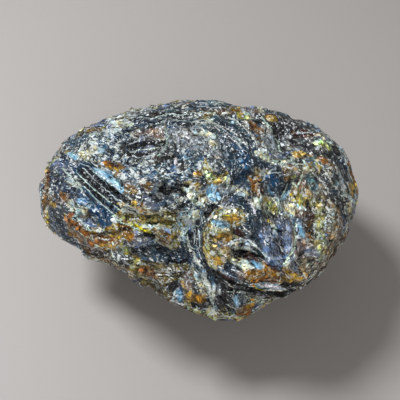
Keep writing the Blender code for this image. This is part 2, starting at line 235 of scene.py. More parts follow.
# Marks on the front, laid over the grounds and written as they are.
MARKS = {
    "slate": (
        (4.0, (224, 264), (232, 272)),
        (3.0, (312, 157)),
        (4.0, (342, 157), (345, 168)),
        (4.0, (178, 290), (182, 300)),
    ),
    "violet": (
        (3.0, (86, 222), (96, 226)),
        (3.0, (140, 144), (152, 145)),
        (3.0, (150, 204), (156, 207)),
        (2.4, (131, 278), (138, 280)),
        (3.0, (189, 220), (192, 226)),
        (2.4, (130, 148), (146, 147)),
        (2.2, (344, 221), (345, 226)),
        (3.0, (306, 251), (312, 252)),
        (3.0, (57, 161), (64, 168)),
    ),
    "crust": (
        (3.0, (72, 178), (80, 184)),
        (3.0, (238, 190), (246, 194)),
        (1.4, (318, 133), (330, 137), (338, 142)),
        (3.0, (349, 204), (350, 216)),
        (3.0, (338, 176), (346, 196)),
        (4.0, (200, 276), (206, 290)),
        (2.4, (186, 212), (198, 212)),
    ),
    "beige": (
        (6.0, (102, 256), (114, 264), (128, 274)),
        (2.2, (351, 216), (344, 236), (334, 252), (322, 264), (308, 280), (298, 291)),
        (3.0, (186, 282), (190, 296)),
        (1.6, (142, 290), (156, 298)),
        (3.4, (300, 262), (310, 262)),
        (3.4, (302, 270), (318, 268)),
    ),
    "chalk": (
        (1.1, (179, 212), (186, 210), (196, 212), (199, 218)),
        (2.4, (180, 213), (187, 216)),
        (1.2, (179, 212), (179, 222), (184, 233), (186, 243), (193, 255), (199, 263)),
        (1.0, (196, 212), (193, 225), (198, 233), (199, 242)),
        (0.9, (184, 228), (193, 226)),
        (1.0, (199, 263), (204, 272), (208, 282)),
        (0.9, (228, 249), (232, 242), (242, 240), (256, 246), (266, 257)),
        (1.0, (236, 247), (246, 249), (256, 254)),
        (1.0, (284, 266), (288, 256), (296, 240), (298, 226)),
        (0.9, (213, 284), (213, 296), (216, 308)),
        (0.9, (304, 158), (309, 168), (306, 176)),
        (0.8, (340, 150), (347, 164), (352, 180)),
        (1.4, (266, 200), (276, 201), (290, 203)),
        (1.4, (284, 206), (294, 206), (304, 208)),
    ),
    "film": (
        (2.4, (166, 130), (169, 142)),
        (2.8, (159, 186), (160, 194)),
        (3.0, (221, 188), (232, 189)),
        (2.4, (264, 126), (268, 138), (273, 150)),
        (1.8, (287, 134), (287, 142)),
        (1.0, (136, 241), (138, 237), (143, 237), (145, 241)),
        (1.4, (288, 148), (300, 149)),
    ),
    "mauve": (
        (2.6, (140, 135), (150, 131), (160, 134)),
        (3.0, (298, 176), (299, 183)),
        (2.4, (58, 200), (68, 202)),
        (3.0, (217, 240), (226, 246)),
        (3.0, (188, 275), (190, 283)),
        (2.6, (238, 272), (244, 273)),
    ),
    "steel": (
        (4.0, (72, 141), (84, 138)),
        (2.4, (239, 158), (244, 172)),
        (2.6, (178, 156), (200, 160)),
        (2.4, (208, 128), (236, 133)),
        (3.0, (270, 172), (277, 186)),
        (2.0, (262, 107), (284, 113)),
        (2.6, (150, 244), (154, 254)),
        (3.0, (55, 228), (60, 238)),
    ),
    "azure": (
        (5.4, (92, 208), (107, 224)),
        (3.4, (85, 202), (94, 209)),
        (3.0, (236, 142), (246, 156), (248, 170)),
        (3.0, (268, 172), (278, 184)),
        (2.4, (88, 204), (96, 208)),
    ),
    "teal": (
        (1.3, (194, 115), (214, 117), (230, 121), (242, 129), (248, 135)),
        (1.9, (196, 125), (214, 126), (230, 133), (240, 143)),
        (1.4, (166, 112), (184, 110), (200, 109)),
        (2.4, (310, 158), (314, 164)),
        (2.6, (308, 176), (313, 188)),
        (2.6, (335, 183), (340, 194)),
        (2.0, (187, 240), (187, 248)),
        (2.0, (232, 311), (238, 314)),
        (2.0, (205, 103), (226, 105)),
    ),
    "brown": (
        (2.8, (346, 236), (334, 254), (322, 266), (308, 281)),
        (2.0, (108, 262), (122, 270)),
        (2.6, (90, 127), (98, 130)),
        (2.8, (118, 174)),
        (2.8, (108, 165), (120, 168)),
        (2.8, (86, 214)),
        (4.0, (160, 230), (166, 240)),
        (2.4, (245, 306)),
        (2.4, (288, 170), (289, 179)),
        (3.0, (306, 222), (308, 242)),
        (2.6, (146, 226), (152, 229)),
        (3.6, (255, 178), (260, 193)),
        (2.6, (143, 181), (150, 187)),
        (3.4, (322, 158), (331, 166)),
        (3.0, (126, 188), (134, 190)),
        (3.0, (222, 109), (232, 111)),
        (3.4, (250, 124), (258, 131)),
    ),
    "cream": (
        (2.0, (78, 150), (86, 158)),
        (1.6, (120, 122), (132, 126)),
        (3.2, (73, 205), (83, 211)),
        (3.0, (188, 190), (200, 202)),
        (2.4, (246, 113), (250, 118)),
        (1.8, (254, 108), (262, 112)),
        (2.2, (258, 153), (270, 160), (286, 161), (295, 154)),
        (2.2, (202, 133), (216, 136)),
        (1.6, (223, 212), (233, 213)),
        (1.4, (214, 230), (222, 229)),
        (2.6, (238, 260), (245, 265)),
        (5.0, (262, 203), (272, 206), (288, 208)),
        (2.6, (264, 200), (290, 202)),
        (1.4, (205, 136), (216, 148)),
        (2.2, (82, 229), (96, 233), (108, 231)),
        (2.4, (124, 207), (138, 212), (150, 214)),
        (2.0, (162, 214), (172, 218)),
        (1.4, (141, 226), (160, 227)),
        (1.8, (214, 216), (222, 220)),
        (2.0, (232, 258), (240, 262)),
        (1.6, (270, 222), (276, 230)),
        (2.0, (104, 242), (111, 242)),
        (2.0, (258, 170), (270, 172)),
        (2.4, (318, 142), (327, 141)),
        (2.6, (258, 298), (262, 304)),
    ),
    "lemon": (
        (1.5, (268, 203), (276, 207)),
        (1.3, (134, 223), (142, 228), (152, 232)),
        (2.4, (208, 173), (212, 180)),
        (2.2, (320, 143), (328, 147)),
        (1.2, (266, 206), (273, 210), (279, 210)),
        (2.4, (122, 247), (128, 250)),
        (1.2, (317, 216), (318, 225)),
        (1.8, (240, 116), (248, 117)),
        (1.6, (213, 232), (224, 234)),
        (1.6, (207, 246), (208, 252)),
    ),
    "gold": (
        (2.2, (50, 202), (53, 205)),
        (2.6, (234, 110), (240, 114)),
        (2.2, (268, 117), (273, 120)),
        (2.6, (297, 153), (305, 156)),
        (1.8, (306, 163), (309, 167)),
        (2.0, (352, 186), (354, 194)),
        (2.6, (226, 218), (238, 220)),
        (2.2, (214, 237), (228, 236)),
        (2.2, (215, 257), (220, 261)),
        (2.6, (278, 279), (300, 279)),
        (2.0, (250, 274), (262, 273), (272, 278)),
        (1.8, (284, 270), (294, 274)),
        (3.0, (103, 248), (112, 247)),
        (2.2, (90, 231), (97, 232)),
        (2.6, (190, 299), (202, 300)),
        (1.4, (110, 166), (116, 168)),
        (2.4, (110, 230), (120, 231)),
    ),
    "orange": (
        (2.8, (125, 224), (130, 236)),
        (3.0, (74, 233), (80, 238)),
        (3.6, (248, 271), (262, 269), (275, 275)),
        (2.0, (141, 207), (146, 212)),
        (1.0, (119, 164), (122, 167)),
        (1.8, (197, 175)),
        (2.2, (196, 298), (202, 302)),
    ),
    "rust": (
        (3.2, (70, 219), (78, 225), (86, 234)),
        (3.6, (80, 234), (92, 247)),
        (3.0, (98, 238), (110, 240)),
        (1.6, (250, 124), (260, 130)),
        (2.4, (320, 158), (325, 163)),
        (2.4, (348, 162), (352, 173)),
        (2.2, (107, 162), (112, 165)),
        (2.4, (60, 195), (66, 197)),
        (1.4, (255, 180), (258, 190)),
        (3.0, (240, 312), (250, 312)),
        (2.2, (44, 172), (45, 190)),
        (1.8, (250, 279), (276, 280)),
        (2.6, (144, 270), (153, 277)),
    ),
    "maroon": (
        (2.0, (219, 110), (231, 112)),
        (2.6, (296, 131), (312, 134)),
        (1.8, (354, 197)),
        (2.0, (260, 182), (262, 190)),
        (1.8, (236, 231), (242, 235)),
        (1.2, (268, 265), (284, 274)),
        (1.0, (244, 256), (258, 259)),
        (2.0, (218, 272), (228, 276)),
        (2.0, (272, 293), (284, 293)),
        (1.6, (308, 206), (310, 218)),
    ),
    # Painted reflections of the sky on glassy facets, and a painted glint under the orange band.
    "glass": (
        (2.8, (262, 286), (276, 288)),
        (2.2, (95, 169), (104, 176)),
        (3.0, (104, 175), (113, 183), (121, 190)),
        (1.8, (80, 200), (90, 205)),
        (1.8, (68, 152), (76, 158)),
        (3.2, (210, 189), (216, 198)),
        (2.0, (213, 222), (226, 224)),
        (2.2, (260, 287), (270, 288), (280, 289)),
        (2.6, (296, 224), (298, 234)),
        (1.6, (252, 262), (260, 265)),
        (1.6, (269, 186), (272, 192)),
        (1.8, (234, 297), (237, 304)),
        (1.2, (282, 199), (287, 193)),
        (1.4, (177, 290), (180, 298)),
        (1.4, (186, 210), (190, 214)),
    ),
    # Black in the pits and cracks, and painted shade down the grooves.
    "dark": (
        (1.4, (84, 165), (94, 174), (104, 184), (113, 191), (122, 198), (130, 203)),
        (1.8, (80, 171), (88, 178), (97, 186), (106, 194), (114, 201), (119, 207)),
        (0.7, (78, 180), (88, 188), (98, 196), (108, 205), (117, 213)),
        (2.0, (130, 154), (146, 153), (156, 149), (164, 142)),
        (1.2, (128, 147), (142, 143), (152, 142), (158, 146)),
        (1.4, (156, 163), (165, 158), (175, 157)),
        (2.6, (161, 189), (170, 192)),
        (1.9, (172, 190), (184, 194)),
        (1.1, (176, 185), (188, 186)),
        (1.4, (152, 196), (160, 200)),
        (0.9, (258, 122), (268, 122)),
        (3.4, (278, 128), (281, 136)),
        (1.2, (262, 181), (263, 186)),
        (2.6, (146, 234), (151, 236)),
        (1.1, (170, 261), (182, 263), (188, 261)),
        (2.6, (168, 286), (177, 286)),
        (1.5, (206, 214), (210, 208), (216, 205)),
        (0.8, (243, 251), (252, 254), (262, 258)),
        (1.6, (284, 126), (290, 140)),
        (1.4, (298, 129), (306, 138)),
        # These and the rest are painted shade under the lips, the orange band and the rim, and low on the
        # front.
        (1.8, (258, 294), (272, 294), (284, 297)),
        (1.6, (222, 296), (228, 306)),
        (1.4, (262, 307), (272, 301)),
        (1.4, (192, 312), (204, 316)),
        (1.2, (306, 284), (318, 275), (327, 265)),
        (1.6, (204, 262), (212, 270), (222, 277), (232, 281), (243, 283)),
        (2.2, (228, 289), (250, 291)),
        (2.2, (192, 306), (196, 308)),
        (1.6, (284, 284), (299, 286)),
    ),
}

# Thin ridges on the front, written as the marks are, under the kind each is. "dust" is the pale powder that
# broken edges catch, laid as splinters. The rest are crisp strips: "edge" is a pale blade, "white" a painted
# glint, "ink" the dark of a crack and painted shade under the lips and the band, "sun" a painted highlight
# in yellow, and "sky" a painted reflection of the sky in blue.
RIDGES = {
    "dust": (
        (0.6, (62, 168), (70, 176), (78, 186), (84, 192)),
        (0.6, (73, 216), (82, 222), (90, 229)),
        (0.6, (84, 228), (92, 231)),
        (0.7, (97, 232), (104, 231)),
        (0.5, (109, 231), (118, 228)),
        (0.5, (76, 226), (84, 236), (88, 244)),
        (0.5, (98, 238), (106, 240), (112, 238)),
        (0.7, (112, 216), (120, 222), (130, 226), (140, 230)),
        (0.6, (118, 203), (130, 207), (145, 211), (160, 213)),
        (0.6, (72, 236), (80, 243), (92, 248), (104, 247)),
        (0.6, (140, 117), (155, 118), (170, 114), (185, 115), (200, 112), (212, 113)),
        (0.6, (175, 116), (190, 118), (197, 115)),
        (0.7, (190, 113), (210, 113), (226, 117), (238, 123), (250, 133), (256, 141)),
        (0.7, (190, 122), (210, 123), (226, 128), (240, 137), (248, 147)),
        (0.6, (196, 106), (216, 108), (232, 110)),
        (0.5, (150, 124), (165, 121), (182, 121), (200, 120), (212, 122)),
        (0.5, (215, 124), (225, 130), (235, 137), (247, 145)),
        (0.5, (205, 127), (216, 128), (226, 134), (236, 142), (246, 152)),
        (0.6, (164, 127), (168, 136), (166, 148), (158, 156)),
        (0.5, (128, 145), (140, 140), (152, 138), (160, 141)),
        (0.5, (130, 152), (144, 150), (156, 149), (163, 144)),
        (0.5, (120, 160), (134, 156), (150, 156), (164, 152)),
        (0.6, (262, 118), (270, 128), (276, 140), (280, 152)),
        (0.6, (252, 134), (256, 144), (260, 152)),
        (0.6, (292, 134), (300, 133), (312, 133)),
        (0.9, (303, 160), (308, 168)),
        (0.8, (262, 153), (268, 158), (275, 161), (283, 160), (290, 156), (296, 165), (300, 170)),
        (0.7, (291, 182), (297, 187), (301, 178), (303, 172)),
        (0.5, (280, 198), (284, 192), (288, 184)),
        (0.6, (318, 164), (326, 172), (331, 181), (337, 190), (344, 200)),
        (0.6, (312, 172), (322, 182), (330, 194)),
        (0.6, (340, 150), (346, 164), (352, 180)),
        (0.5, (316, 132), (328, 136), (338, 144)),
        (0.6, (182, 218), (187, 226), (196, 231), (194, 242)),
        (0.6, (186, 206), (190, 216), (188, 228), (182, 236)),
        (0.5, (176, 222), (182, 228), (180, 240)),
        (0.6, (186, 236), (190, 250), (198, 262), (206, 272)),
        (0.6, (205, 284), (210, 296), (214, 308)),
        (0.6, (226, 247), (232, 241), (240, 239), (248, 240), (256, 245)),
        (0.5, (240, 222), (246, 230), (251, 234)),
        (0.6, (213, 292), (213, 302), (215, 312)),
        (0.9, (296, 222), (295, 236), (294, 248), (288, 258), (283, 265)),
        (0.5, (313, 227), (315, 234)),
        (0.6, (327, 216), (324, 228)),
        (0.4, (270, 234), (273, 241)),
        (0.4, (280, 246), (282, 252)),
        (0.7, (252, 284), (266, 286), (282, 288), (296, 288)),
        (0.6, (176, 290), (172, 300), (180, 308)),
        (0.6, (228, 292), (240, 292), (250, 298)),
        (0.6, (246, 196), (252, 206), (256, 216)),
        (0.6, (218, 206), (226, 208), (238, 207)),
        (0.6, (184, 308), (196, 312), (208, 314)),
        (0.7, (196, 306), (206, 309), (218, 310)),
        (0.7, (226, 304), (234, 308), (242, 307)),
        (0.8, (248, 304), (258, 301), (268, 299)),
        (0.5, (170, 296), (178, 303), (188, 308)),
        (0.6, (302, 284), (314, 274), (326, 262)),
    ),
    "edge": (
        (0.7, (82, 168), (90, 174), (98, 182), (106, 190), (114, 197), (124, 204), (134, 208), (146, 212)),
        (0.6, (76, 172), (86, 182), (96, 191), (106, 199), (116, 207), (122, 211)),
        (0.6, (74, 178), (82, 186), (92, 195), (102, 204), (112, 213), (118, 218)),
        (0.5, (78, 163), (88, 166), (96, 172)),
        (0.7, (229, 246), (234, 240), (240, 238), (248, 240), (257, 247), (265, 257)),
        (0.4, (238, 247), (248, 249), (258, 254)),
        (0.6, (179, 213), (186, 211), (195, 212), (201, 216), (203, 224)),
        (0.6, (184, 231), (191, 224), (198, 227), (205, 222)),
        (0.5, (188, 212), (190, 220), (186, 230), (188, 240), (192, 250)),
        (0.5, (198, 228), (200, 238), (198, 250), (203, 262)),
        (0.4, (192, 236), (198, 240)),
        (0.5, (182, 217), (190, 221), (199, 218)),
        (0.5, (187, 245), (194, 249), (202, 246)),
        (0.4, (180, 223), (177, 232), (182, 242)),
        (0.35, (153, 271), (186, 271)),
        (0.35, (153, 279), (184, 279)),
    ),
    # Painted glints.
    "white": (
        (1.9, (260, 286), (270, 286), (281, 287)),
        (1.0, (264, 289), (274, 290), (283, 290)),
        (0.4, (208, 315), (224, 316), (240, 315)),
        (0.6, (256, 300), (262, 304)),
        (0.5, (304, 281), (314, 273), (324, 263)),
    ),
    "ink": (
        (1.5, (86, 169), (96, 178), (106, 187), (116, 195), (126, 202), (134, 206)),
        (1.7, (80, 172), (90, 182), (100, 191), (110, 200), (118, 206)),
        (0.8, (78, 179), (88, 189), (98, 198), (108, 207), (116, 214)),
        (0.7, (72, 178), (80, 188), (90, 198), (98, 206)),
        (0.8, (120, 206), (134, 211), (148, 215), (162, 216), (174, 213)),
        (0.7, (92, 237), (104, 236)),
        (0.6, (112, 234), (126, 230)),
        (0.8, (142, 232), (150, 235), (156, 238)),
        (0.7, (84, 252), (98, 258), (112, 260)),
        (0.7, (132, 150), (144, 148), (156, 146), (162, 140)),
        (0.6, (138, 122), (156, 123), (174, 119), (192, 118), (210, 118), (226, 126)),
        (0.6, (160, 108), (184, 107), (208, 108), (230, 112)),
        (0.7, (236, 128), (244, 138), (250, 150), (254, 162)),
        (0.9, (246, 120), (256, 122), (264, 120), (270, 123)),
        (0.8, (274, 128), (278, 138), (280, 150)),
        (0.8, (262, 184), (264, 192)),
        (0.6, (168, 261), (178, 263), (187, 261)),
        (0.7, (152, 273), (186, 273)),
        (0.7, (152, 277), (184, 277)),
        # Most of the lines from here on run under the lips, the orange band and the rim: painted shade.
        (1.1, (204, 262), (210, 270), (220, 277), (232, 281), (246, 284)),
        (0.7, (208, 212), (203, 222), (206, 234), (202, 246), (205, 258)),
        (0.7, (236, 250), (246, 252), (256, 256), (263, 260)),
        (1.0, (248, 288), (262, 292), (280, 293), (296, 290)),
        (0.8, (252, 280), (264, 282), (278, 281)),
        (0.6, (262, 288), (273, 288), (282, 288)),
        (0.9, (214, 236), (222, 238), (230, 234)),
        (0.8, (268, 264), (277, 268), (285, 273)),
        (0.7, (310, 206), (311, 218)),
        (0.8, (228, 291), (250, 291)),
        (0.7, (298, 284), (308, 277), (318, 268)),
        (0.6, (316, 276), (326, 266), (336, 254)),
        (0.6, (176, 304), (186, 309), (196, 311)),
        (0.6, (214, 311), (228, 311), (238, 308)),
    ),
    # Painted highlights in yellow.
    "sun": (
        (1.2, (134, 224), (142, 229), (151, 233)),
        (0.6, (252, 286), (258, 289), (265, 291)),
        (0.7, (222, 216), (232, 214), (238, 217)),
    ),
    # Painted reflections of the sky, in blue.
    "sky": (
        (1.3, (96, 171), (104, 178), (112, 185), (119, 190)),
        (0.9, (92, 170), (100, 177), (108, 185)),
        (1.0, (77, 201), (84, 203), (91, 206)),
        (0.8, (236, 296), (240, 304)),
        (0.9, (297, 222), (297, 232)),
        (0.7, (190, 228), (196, 236)),
    ),
}

# What each kind of ridge does: its colour, how tall a strip stands in its own widths, how far its points
# stray in millimetres, and how dark its darkest points are.
Ridge = namedtuple("Ridge", "colour height stray darkest")
RIDGE_KINDS = {
    "dust": Ridge((0.76, 0.82, 0.76), 0, 0.10, 0.5),
    "edge": Ridge((0.69, 0.77, 0.74), 0.3, 0.02, 0.8),
    # A painted glint.
    "white": Ridge((0.98, 0.98, 0.95), 0.3, 0.10, 0.5),
    # Cracks, and in places painted shade.
    "ink": Ridge((0.012, 0.011, 0.012), 0.12, 0.10, 0.5),
    # A painted highlight in yellow, and a painted reflection of the sky in blue.
    "sun": Ridge((0.95, 0.78, 0.10), 0.3, 0.10, 0.5),
    "sky": Ridge((0.75, 0.88, 0.97), 0.3, 0.10, 0.5),
}

# Relief worked on the front, in the camera's frame. A swell is its height, its width and the line
# it follows. A ledge is its height, how far it fades out behind its brink, and its brink, with the high
# side on the left of its way.
SWELLS = (
    (1.3, 6.0, (230, 267), (246, 271)),
    (0.8, 3.2, (246, 272), (262, 270), (280, 274), (300, 276)),
    (-1.1, 2.0, (230, 281), (246, 287), (262, 293), (285, 295), (303, 288)),
    (-0.5, 1.2, (242, 251), (252, 254), (262, 259)),
    (0.8, 1.6, (230, 244), (240, 240), (252, 243), (262, 252)),
    (-1.4, 3.4, (164, 190), (182, 194)),
    (-1.2, 5.0, (276, 130), (280, 148)),
    (-0.8, 8.0, (270, 172), (272, 180)),
    (-0.7, 8.0, (238, 150), (246, 180), (252, 205), (260, 232)),
    (-0.8, 3.0, (130, 150), (142, 147), (156, 147)),
    (0.6, 1.6, (128, 142), (145, 139), (160, 142), (166, 152)),
    (-0.9, 1.5, (84, 165), (94, 174), (104, 184), (113, 191), (122, 198), (130, 203)),
    (-0.9, 1.5, (80, 171), (88, 178), (97, 186), (106, 194), (114, 201), (119, 207)),
    (-0.6, 1.2, (78, 180), (88, 188), (98, 196), (108, 205), (117, 213)),
    (-1.0, 3.0, (150, 238), (162, 248), (176, 252), (190, 256)),
    (-0.9, 2.4, (144, 233), (150, 236)),
    (-0.8, 2.0, (186, 262), (176, 286), (194, 306)),
    (0.6, 3.0, (216, 230), (222, 246)),
    (-0.6, 1.4, (208, 236), (218, 240), (226, 236)),
    (0.5, 2.4, (218, 216), (236, 216)),
)
LEDGES = (
    (0.9, 5.0, (118, 203), (130, 207), (145, 211), (160, 213), (175, 210), (186, 205), (200, 196)),
    (0.8, 3.0, (70, 218), (82, 226), (92, 233), (106, 232), (120, 229), (131, 226)),
    (0.9, 3.0, (66, 232), (80, 244), (96, 252), (112, 256), (130, 262)),
    (0.8, 3.0, (140, 236), (152, 234), (165, 236), (180, 242), (190, 250)),
    (0.7, 3.0, (140, 262), (160, 262), (190, 264), (196, 270)),
    (1.1, 4.0, (213, 208), (205, 222), (207, 236), (203, 250), (206, 262), (212, 270), (222, 277),
     (236, 281), (250, 285)),
    (0.6, 4.0, (240, 208), (225, 206), (212, 208)),
    (0.9, 5.0, (298, 212), (298, 235), (294, 252), (284, 266)),
    (0.8, 3.0, (262, 153), (268, 158), (275, 161), (283, 160), (290, 156)),
    (0.5, 2.5, (140, 117), (170, 114), (200, 112), (215, 116), (235, 130), (247, 145)),
    (0.5, 2.5, (118, 134), (140, 125), (165, 122), (200, 122), (222, 131), (236, 142)),
    (0.4, 2.5, (150, 106), (180, 102), (215, 104), (240, 112)),
    (0.6, 3.0, (250, 112), (262, 122), (268, 136), (276, 152)),
    (0.6, 3.0, (286, 122), (300, 132), (316, 134), (334, 146), (346, 166)),
    (0.5, 3.0, (303, 160), (310, 170), (312, 184), (320, 196)),
    (0.5, 3.0, (326, 176), (336, 188), (344, 198), (350, 212)),
    (0.6, 3.0, (318, 206), (314, 222), (318, 240), (312, 256)),
    (0.5, 3.0, (330, 204), (328, 222), (330, 242)),
    (0.6, 3.0, (50, 168), (62, 176), (74, 188), (84, 200)),
    (0.6, 3.0, (48, 196), (58, 204), (70, 212)),
    (0.7, 3.0, (186, 206), (190, 216), (188, 228), (182, 238)),
    (0.6, 3.0, (190, 256), (198, 268), (206, 284), (212, 302)),
    (0.6, 3.0, (228, 284), (226, 300), (232, 314)),
    (0.7, 3.0, (164, 286), (172, 300), (186, 310)),
    (0.5, 3.0, (228, 164), (222, 178), (206, 186)),
    (0.6, 3.0, (258, 178), (256, 190), (262, 202)),
    (0.5, 3.0, (180, 158), (178, 168), (164, 176), (150, 176)),
)

# Lines that the fine grain follows on the front, in the camera's frame.
FLOWS = (
    ((56, 175), (80, 186), (104, 205), (130, 222)),
    ((72, 160), (96, 176), (120, 198), (150, 212), (180, 214)),
    ((70, 218), (100, 238), (150, 262), (190, 275)),
    ((60, 240), (110, 270), (160, 300), (215, 318)),
    ((80, 135), (120, 121), (170, 112), (215, 116), (240, 138), (252, 170)),
    ((120, 162), (138, 147), (160, 136), (178, 148), (176, 166)),
    ((100, 140), (120, 150), (128, 170), (150, 178), (180, 176)),
    ((205, 135), (218, 150), (222, 170), (214, 195)),
    ((195, 205), (190, 240), (205, 275), (222, 312)),
    ((262, 160), (266, 200), (272, 235), (283, 266)),
    ((205, 255), (235, 280), (275, 292), (312, 275), (345, 235)),
    ((255, 112), (268, 135), (280, 160), (284, 190)),
    ((290, 130), (318, 160), (340, 190), (350, 212)),
    ((318, 133), (345, 160), (356, 195), (348, 235)),
    ((315, 205), (318, 235), (305, 262)),
    ((228, 246), (248, 240), (264, 256), (290, 272)),
)

# The grain. Where no flow line is near, it runs round an axis, with very little pull.
FLOW_REACH = 5.0  # how far off a flow line still turns the grain, in millimetres
FLOW_FADE = 3.0  # how fast its pull fades beyond that
GRAIN_AXIS = (0.15, 0.1, 1.0)
GRAIN_PULL = 0.02

# Finishes that seeded noise scatters, with how often each comes up: on the front, and on the rest.
FRONT_ZONES = (
    ("rind", 20), ("deep", 8), ("crust", 18), ("slate", 12), ("film", 6), ("violet", 7), ("brown", 10),
    ("olive", 9), ("navy", 6), ("cream", 3), ("gold", 2), ("steel", 2),
)
BACK_ZONES = (
    ("rind", 20), ("deep", 12), ("crust", 9), ("slate", 12), ("film", 4), ("violet", 4), ("brown", 8),
    ("olive", 9), ("navy", 9), ("gold", 3), ("orange", 3), ("rust", 4), ("cream", 3), ("steel", 3),
    ("mauve", 4), ("beige", 4),
)
ZONE_SEED = 70
ZONE_SIZES = (5.2, 2.3)  # large and small zones, in millimetres
ZONE_SHARES = (1.0, 0.22)  # how much of the surface each covers
ZONE_WANDER = 0.35  # how far a zone's edge wanders, in its own sizes
WANDER_SEEDS = (61, 62, 63)
WANDER_LENGTH = 2.0
BACK_CLOSENESS = 0.7  # how close points behind are taken to lie, so that zones are larger there

# One size of noise: how strong it is, how long its waves are in millimetres, and its seed.
Noise = namedtuple("Noise", "strength length seed")

# Lines listed one by one: marks, swells and ledges.
MARK_STRAY = (Noise(0.9, 2.4, 5), Noise(0.7, 0.95, 11))
RELIEF_STRAY = (Noise(1.3, 3.0, 83), Noise(0.7, 1.1, 84))
NOISE_REACH = 0.5  # how far plain noise goes either way
STEADY_WIDTH = 2.5  # a line narrower than this strays less
MARK_BLUR = 0.25  # half the width of a mark's soft edge
MARK_MARGIN = 3  # how far past a mark's width its points are looked for
SWELL_MARGIN = 2  # the same in a swell's widths
LEDGE_MARGIN = 3  # and in a ledge's fades
SWELL_TOP = 0.6  # how much of a swell's width stays tall
LEDGE_BOOST = 1.5  # how much taller than written the ledges stand
LEDGE_START = -0.2  # how far before its brink a ledge starts
LEDGE_FULL = 0.3  # and how far behind it the ledge has its height
LEDGE_END = 1.2  # how fast a ledge fades past its ends

# Streaks along the grain, in millimetres.
STREAK_SEED = 31
STREAK_LENGTH = 1.5
STREAK_STEPS = (-2.8, -2.1, -1.4, -0.7, 0.0, 0.7, 1.4, 2.1, 2.8)  # where they are sampled, in lengths
STREAK_GAIN = 3.8  # brings the samples' mean to about 1
STREAK_HEIGHT = 0.16
GLOSS_CALM = 0.6  # how much lower streaks are on the glassiest rind

# Broad sheets along the grain, cut into terraces, in millimetres.
SHEET_SEED = 91
SHEET_LENGTH = 4.5
SHEET_NOISE = (Noise(0.25, 1.8, 93),)
SHEETS = 3.0  # how many terraces a sheet's height is cut into
SHEET_DEPTH = 0.7
FRONT_SHEETS = 0.55  # how much of that depth the front keeps
RISER_START = 0.72  # where in a tread its riser starts
BRINK_WIDTH = 0.2  # how wide the tread's brink is, in treads
BRINK_POWDER = 0.10

# Chips all over, coarse to fine: how far apart they lie, how hollow they are, how steeply each tips, how
# much their tones differ, and how much powder lines their ridges.
Chips = namedtuple("Chips", "spacing bend tip contrast lining seed")
CHIPS = (
    Chips(5.6, 0.08, 0.18, 0.15, 0.06, 3),
    Chips(2.7, 0.10, 0.22, 0.20, 0.10, 17),
)
LINING_WIDTH = 0.09  # how far down from its ridge the powder lies
FRONT_CHIPS = 0.7  # how much of their depth the front keeps
LENGTHENING = 0.75  # how far a chip is drawn out along the grain
DARKEST = 0.35  # the limits of the chips' tones
LIGHTEST = 1.8

# The lump's own mesh.
CALM_RELIEF = 0.3  # how much of its relief the calmest finish keeps
FULL_BUSY = 0.5  # how busy a finish has to be to keep it all
BULGE_ROUNDS = 12  # rounds of averaging that tell a bulge from the form round it
FRONT_SHARE = 0.5  # the share of the ball's triangles that are on the front
BACK_SHARE = 0.22  # the share of the kept triangles that lie behind

# Where flakes lie, and how wide they are.
FLAKE_SEED = 12
FLAKE_TRIES = 22000  # how many places are tried
SMALLEST = 0.55  # the narrowest flake, in its finish's width
LARGER = 0.9  # how much wider others may be
CALM_ROOM = 2.4  # how much room flakes keep on the calmest rind
BUSY_CROWDING = 1.4  # how much of it is given up on the busiest
RIDGE_ROOM = 0.35  # how far flakes keep off the listed ridges, in millimetres
RIDGE_MARGIN = 2  # how far off a ridge such places are looked for

# A flake's finish.
ODD_CHANCE = 0.08  # the chance of a finish from another common zone, on the busiest rind
COMMON = 5  # a common zone comes up more often than this
CALM_TONES = 0.16  # how much tones differ on the calmest rind
BUSY_TONES = 0.26  # and how much more on the busiest
HUE_RANGE = (0.92, 1.08)  # how far red, green and blue differ by themselves
FLAKE_TONE = 1.2  # how much brighter than their finish flakes are
# The bed between the flakes is painted darker, as shade between them.
BED_SHADE = 0.6  # and how much darker the ground between them is
WINDOW = 0.5  # a finish that is more see-through than this is a window
FLAKE_POWDER = 0.6  # how much of their powder flakes keep
PALE_EDGES = 0.35  # how many flakes have pale edges

# A flake's shape, in half its width where no other unit is given.
CORNERS = 6
CORNER_STRAY = 0.38  # how far a corner strays from an even turn
CORNER_REACH = (0.42, 1.2)  # how far out a corner lies
STRETCH = 1.3  # how much longer than wide a flake may be
LIFT = 0.13  # how high its middle may lie, in millimetres
TOP_RANGE = (-0.06, 0.12)  # how high its top stands over its middle
TOP_PUSH = 0.3  # how far its top is pushed aside
ROOT_DEPTH = 0.5  # how deep it is bedded, in millimetres
ROOT_SHARE = 0.5  # and how much deeper
CALM_LEAN = 0.07  # how far it leans on the calmest rind
BUSY_LEAN = 0.13  # and how much more on the busiest
STEADY_FLAKE = 2.4  # a flake wider than this leans less, in millimetres
GRAIN_STRAY = 0.25  # how far it turns off the grain

# Strips, in millimetres.
STRIP_STEP = 0.6  # how far apart a strip's points lie
STRIP_WIDTH = 0.8  # its width, as a share of what is written
STRIP_ROOT = 0.1  # how deep it is bedded
STRIP_CREST = 0.08  # how far its crest stands off at least
TAPER_START = 0.35  # how wide its ends are
TAPER_GROWTH = 0.4  # how much wider each next point is

# Splinters, in millimetres.
SPLINTER_STEP = 0.4  # how far apart they lie
SPLINTERS_KEPT = 0.9  # how many of a row are left
SPLINTER_TURN = 0.3  # how far a corner strays from an even turn
SPLINTER_LENGTHS = (0.4, 0.9)
SPLINTER_WIDTH = 0.62  # their half width, as a share of their row's
SPLINTER_STRAY = 0.07  # how far they lie off their row
SPLINTER_HEIGHTS = (0.04, 0.20)  # how high their corners stand
SPLINTER_ROOT = 0.35  # how deep they are bedded

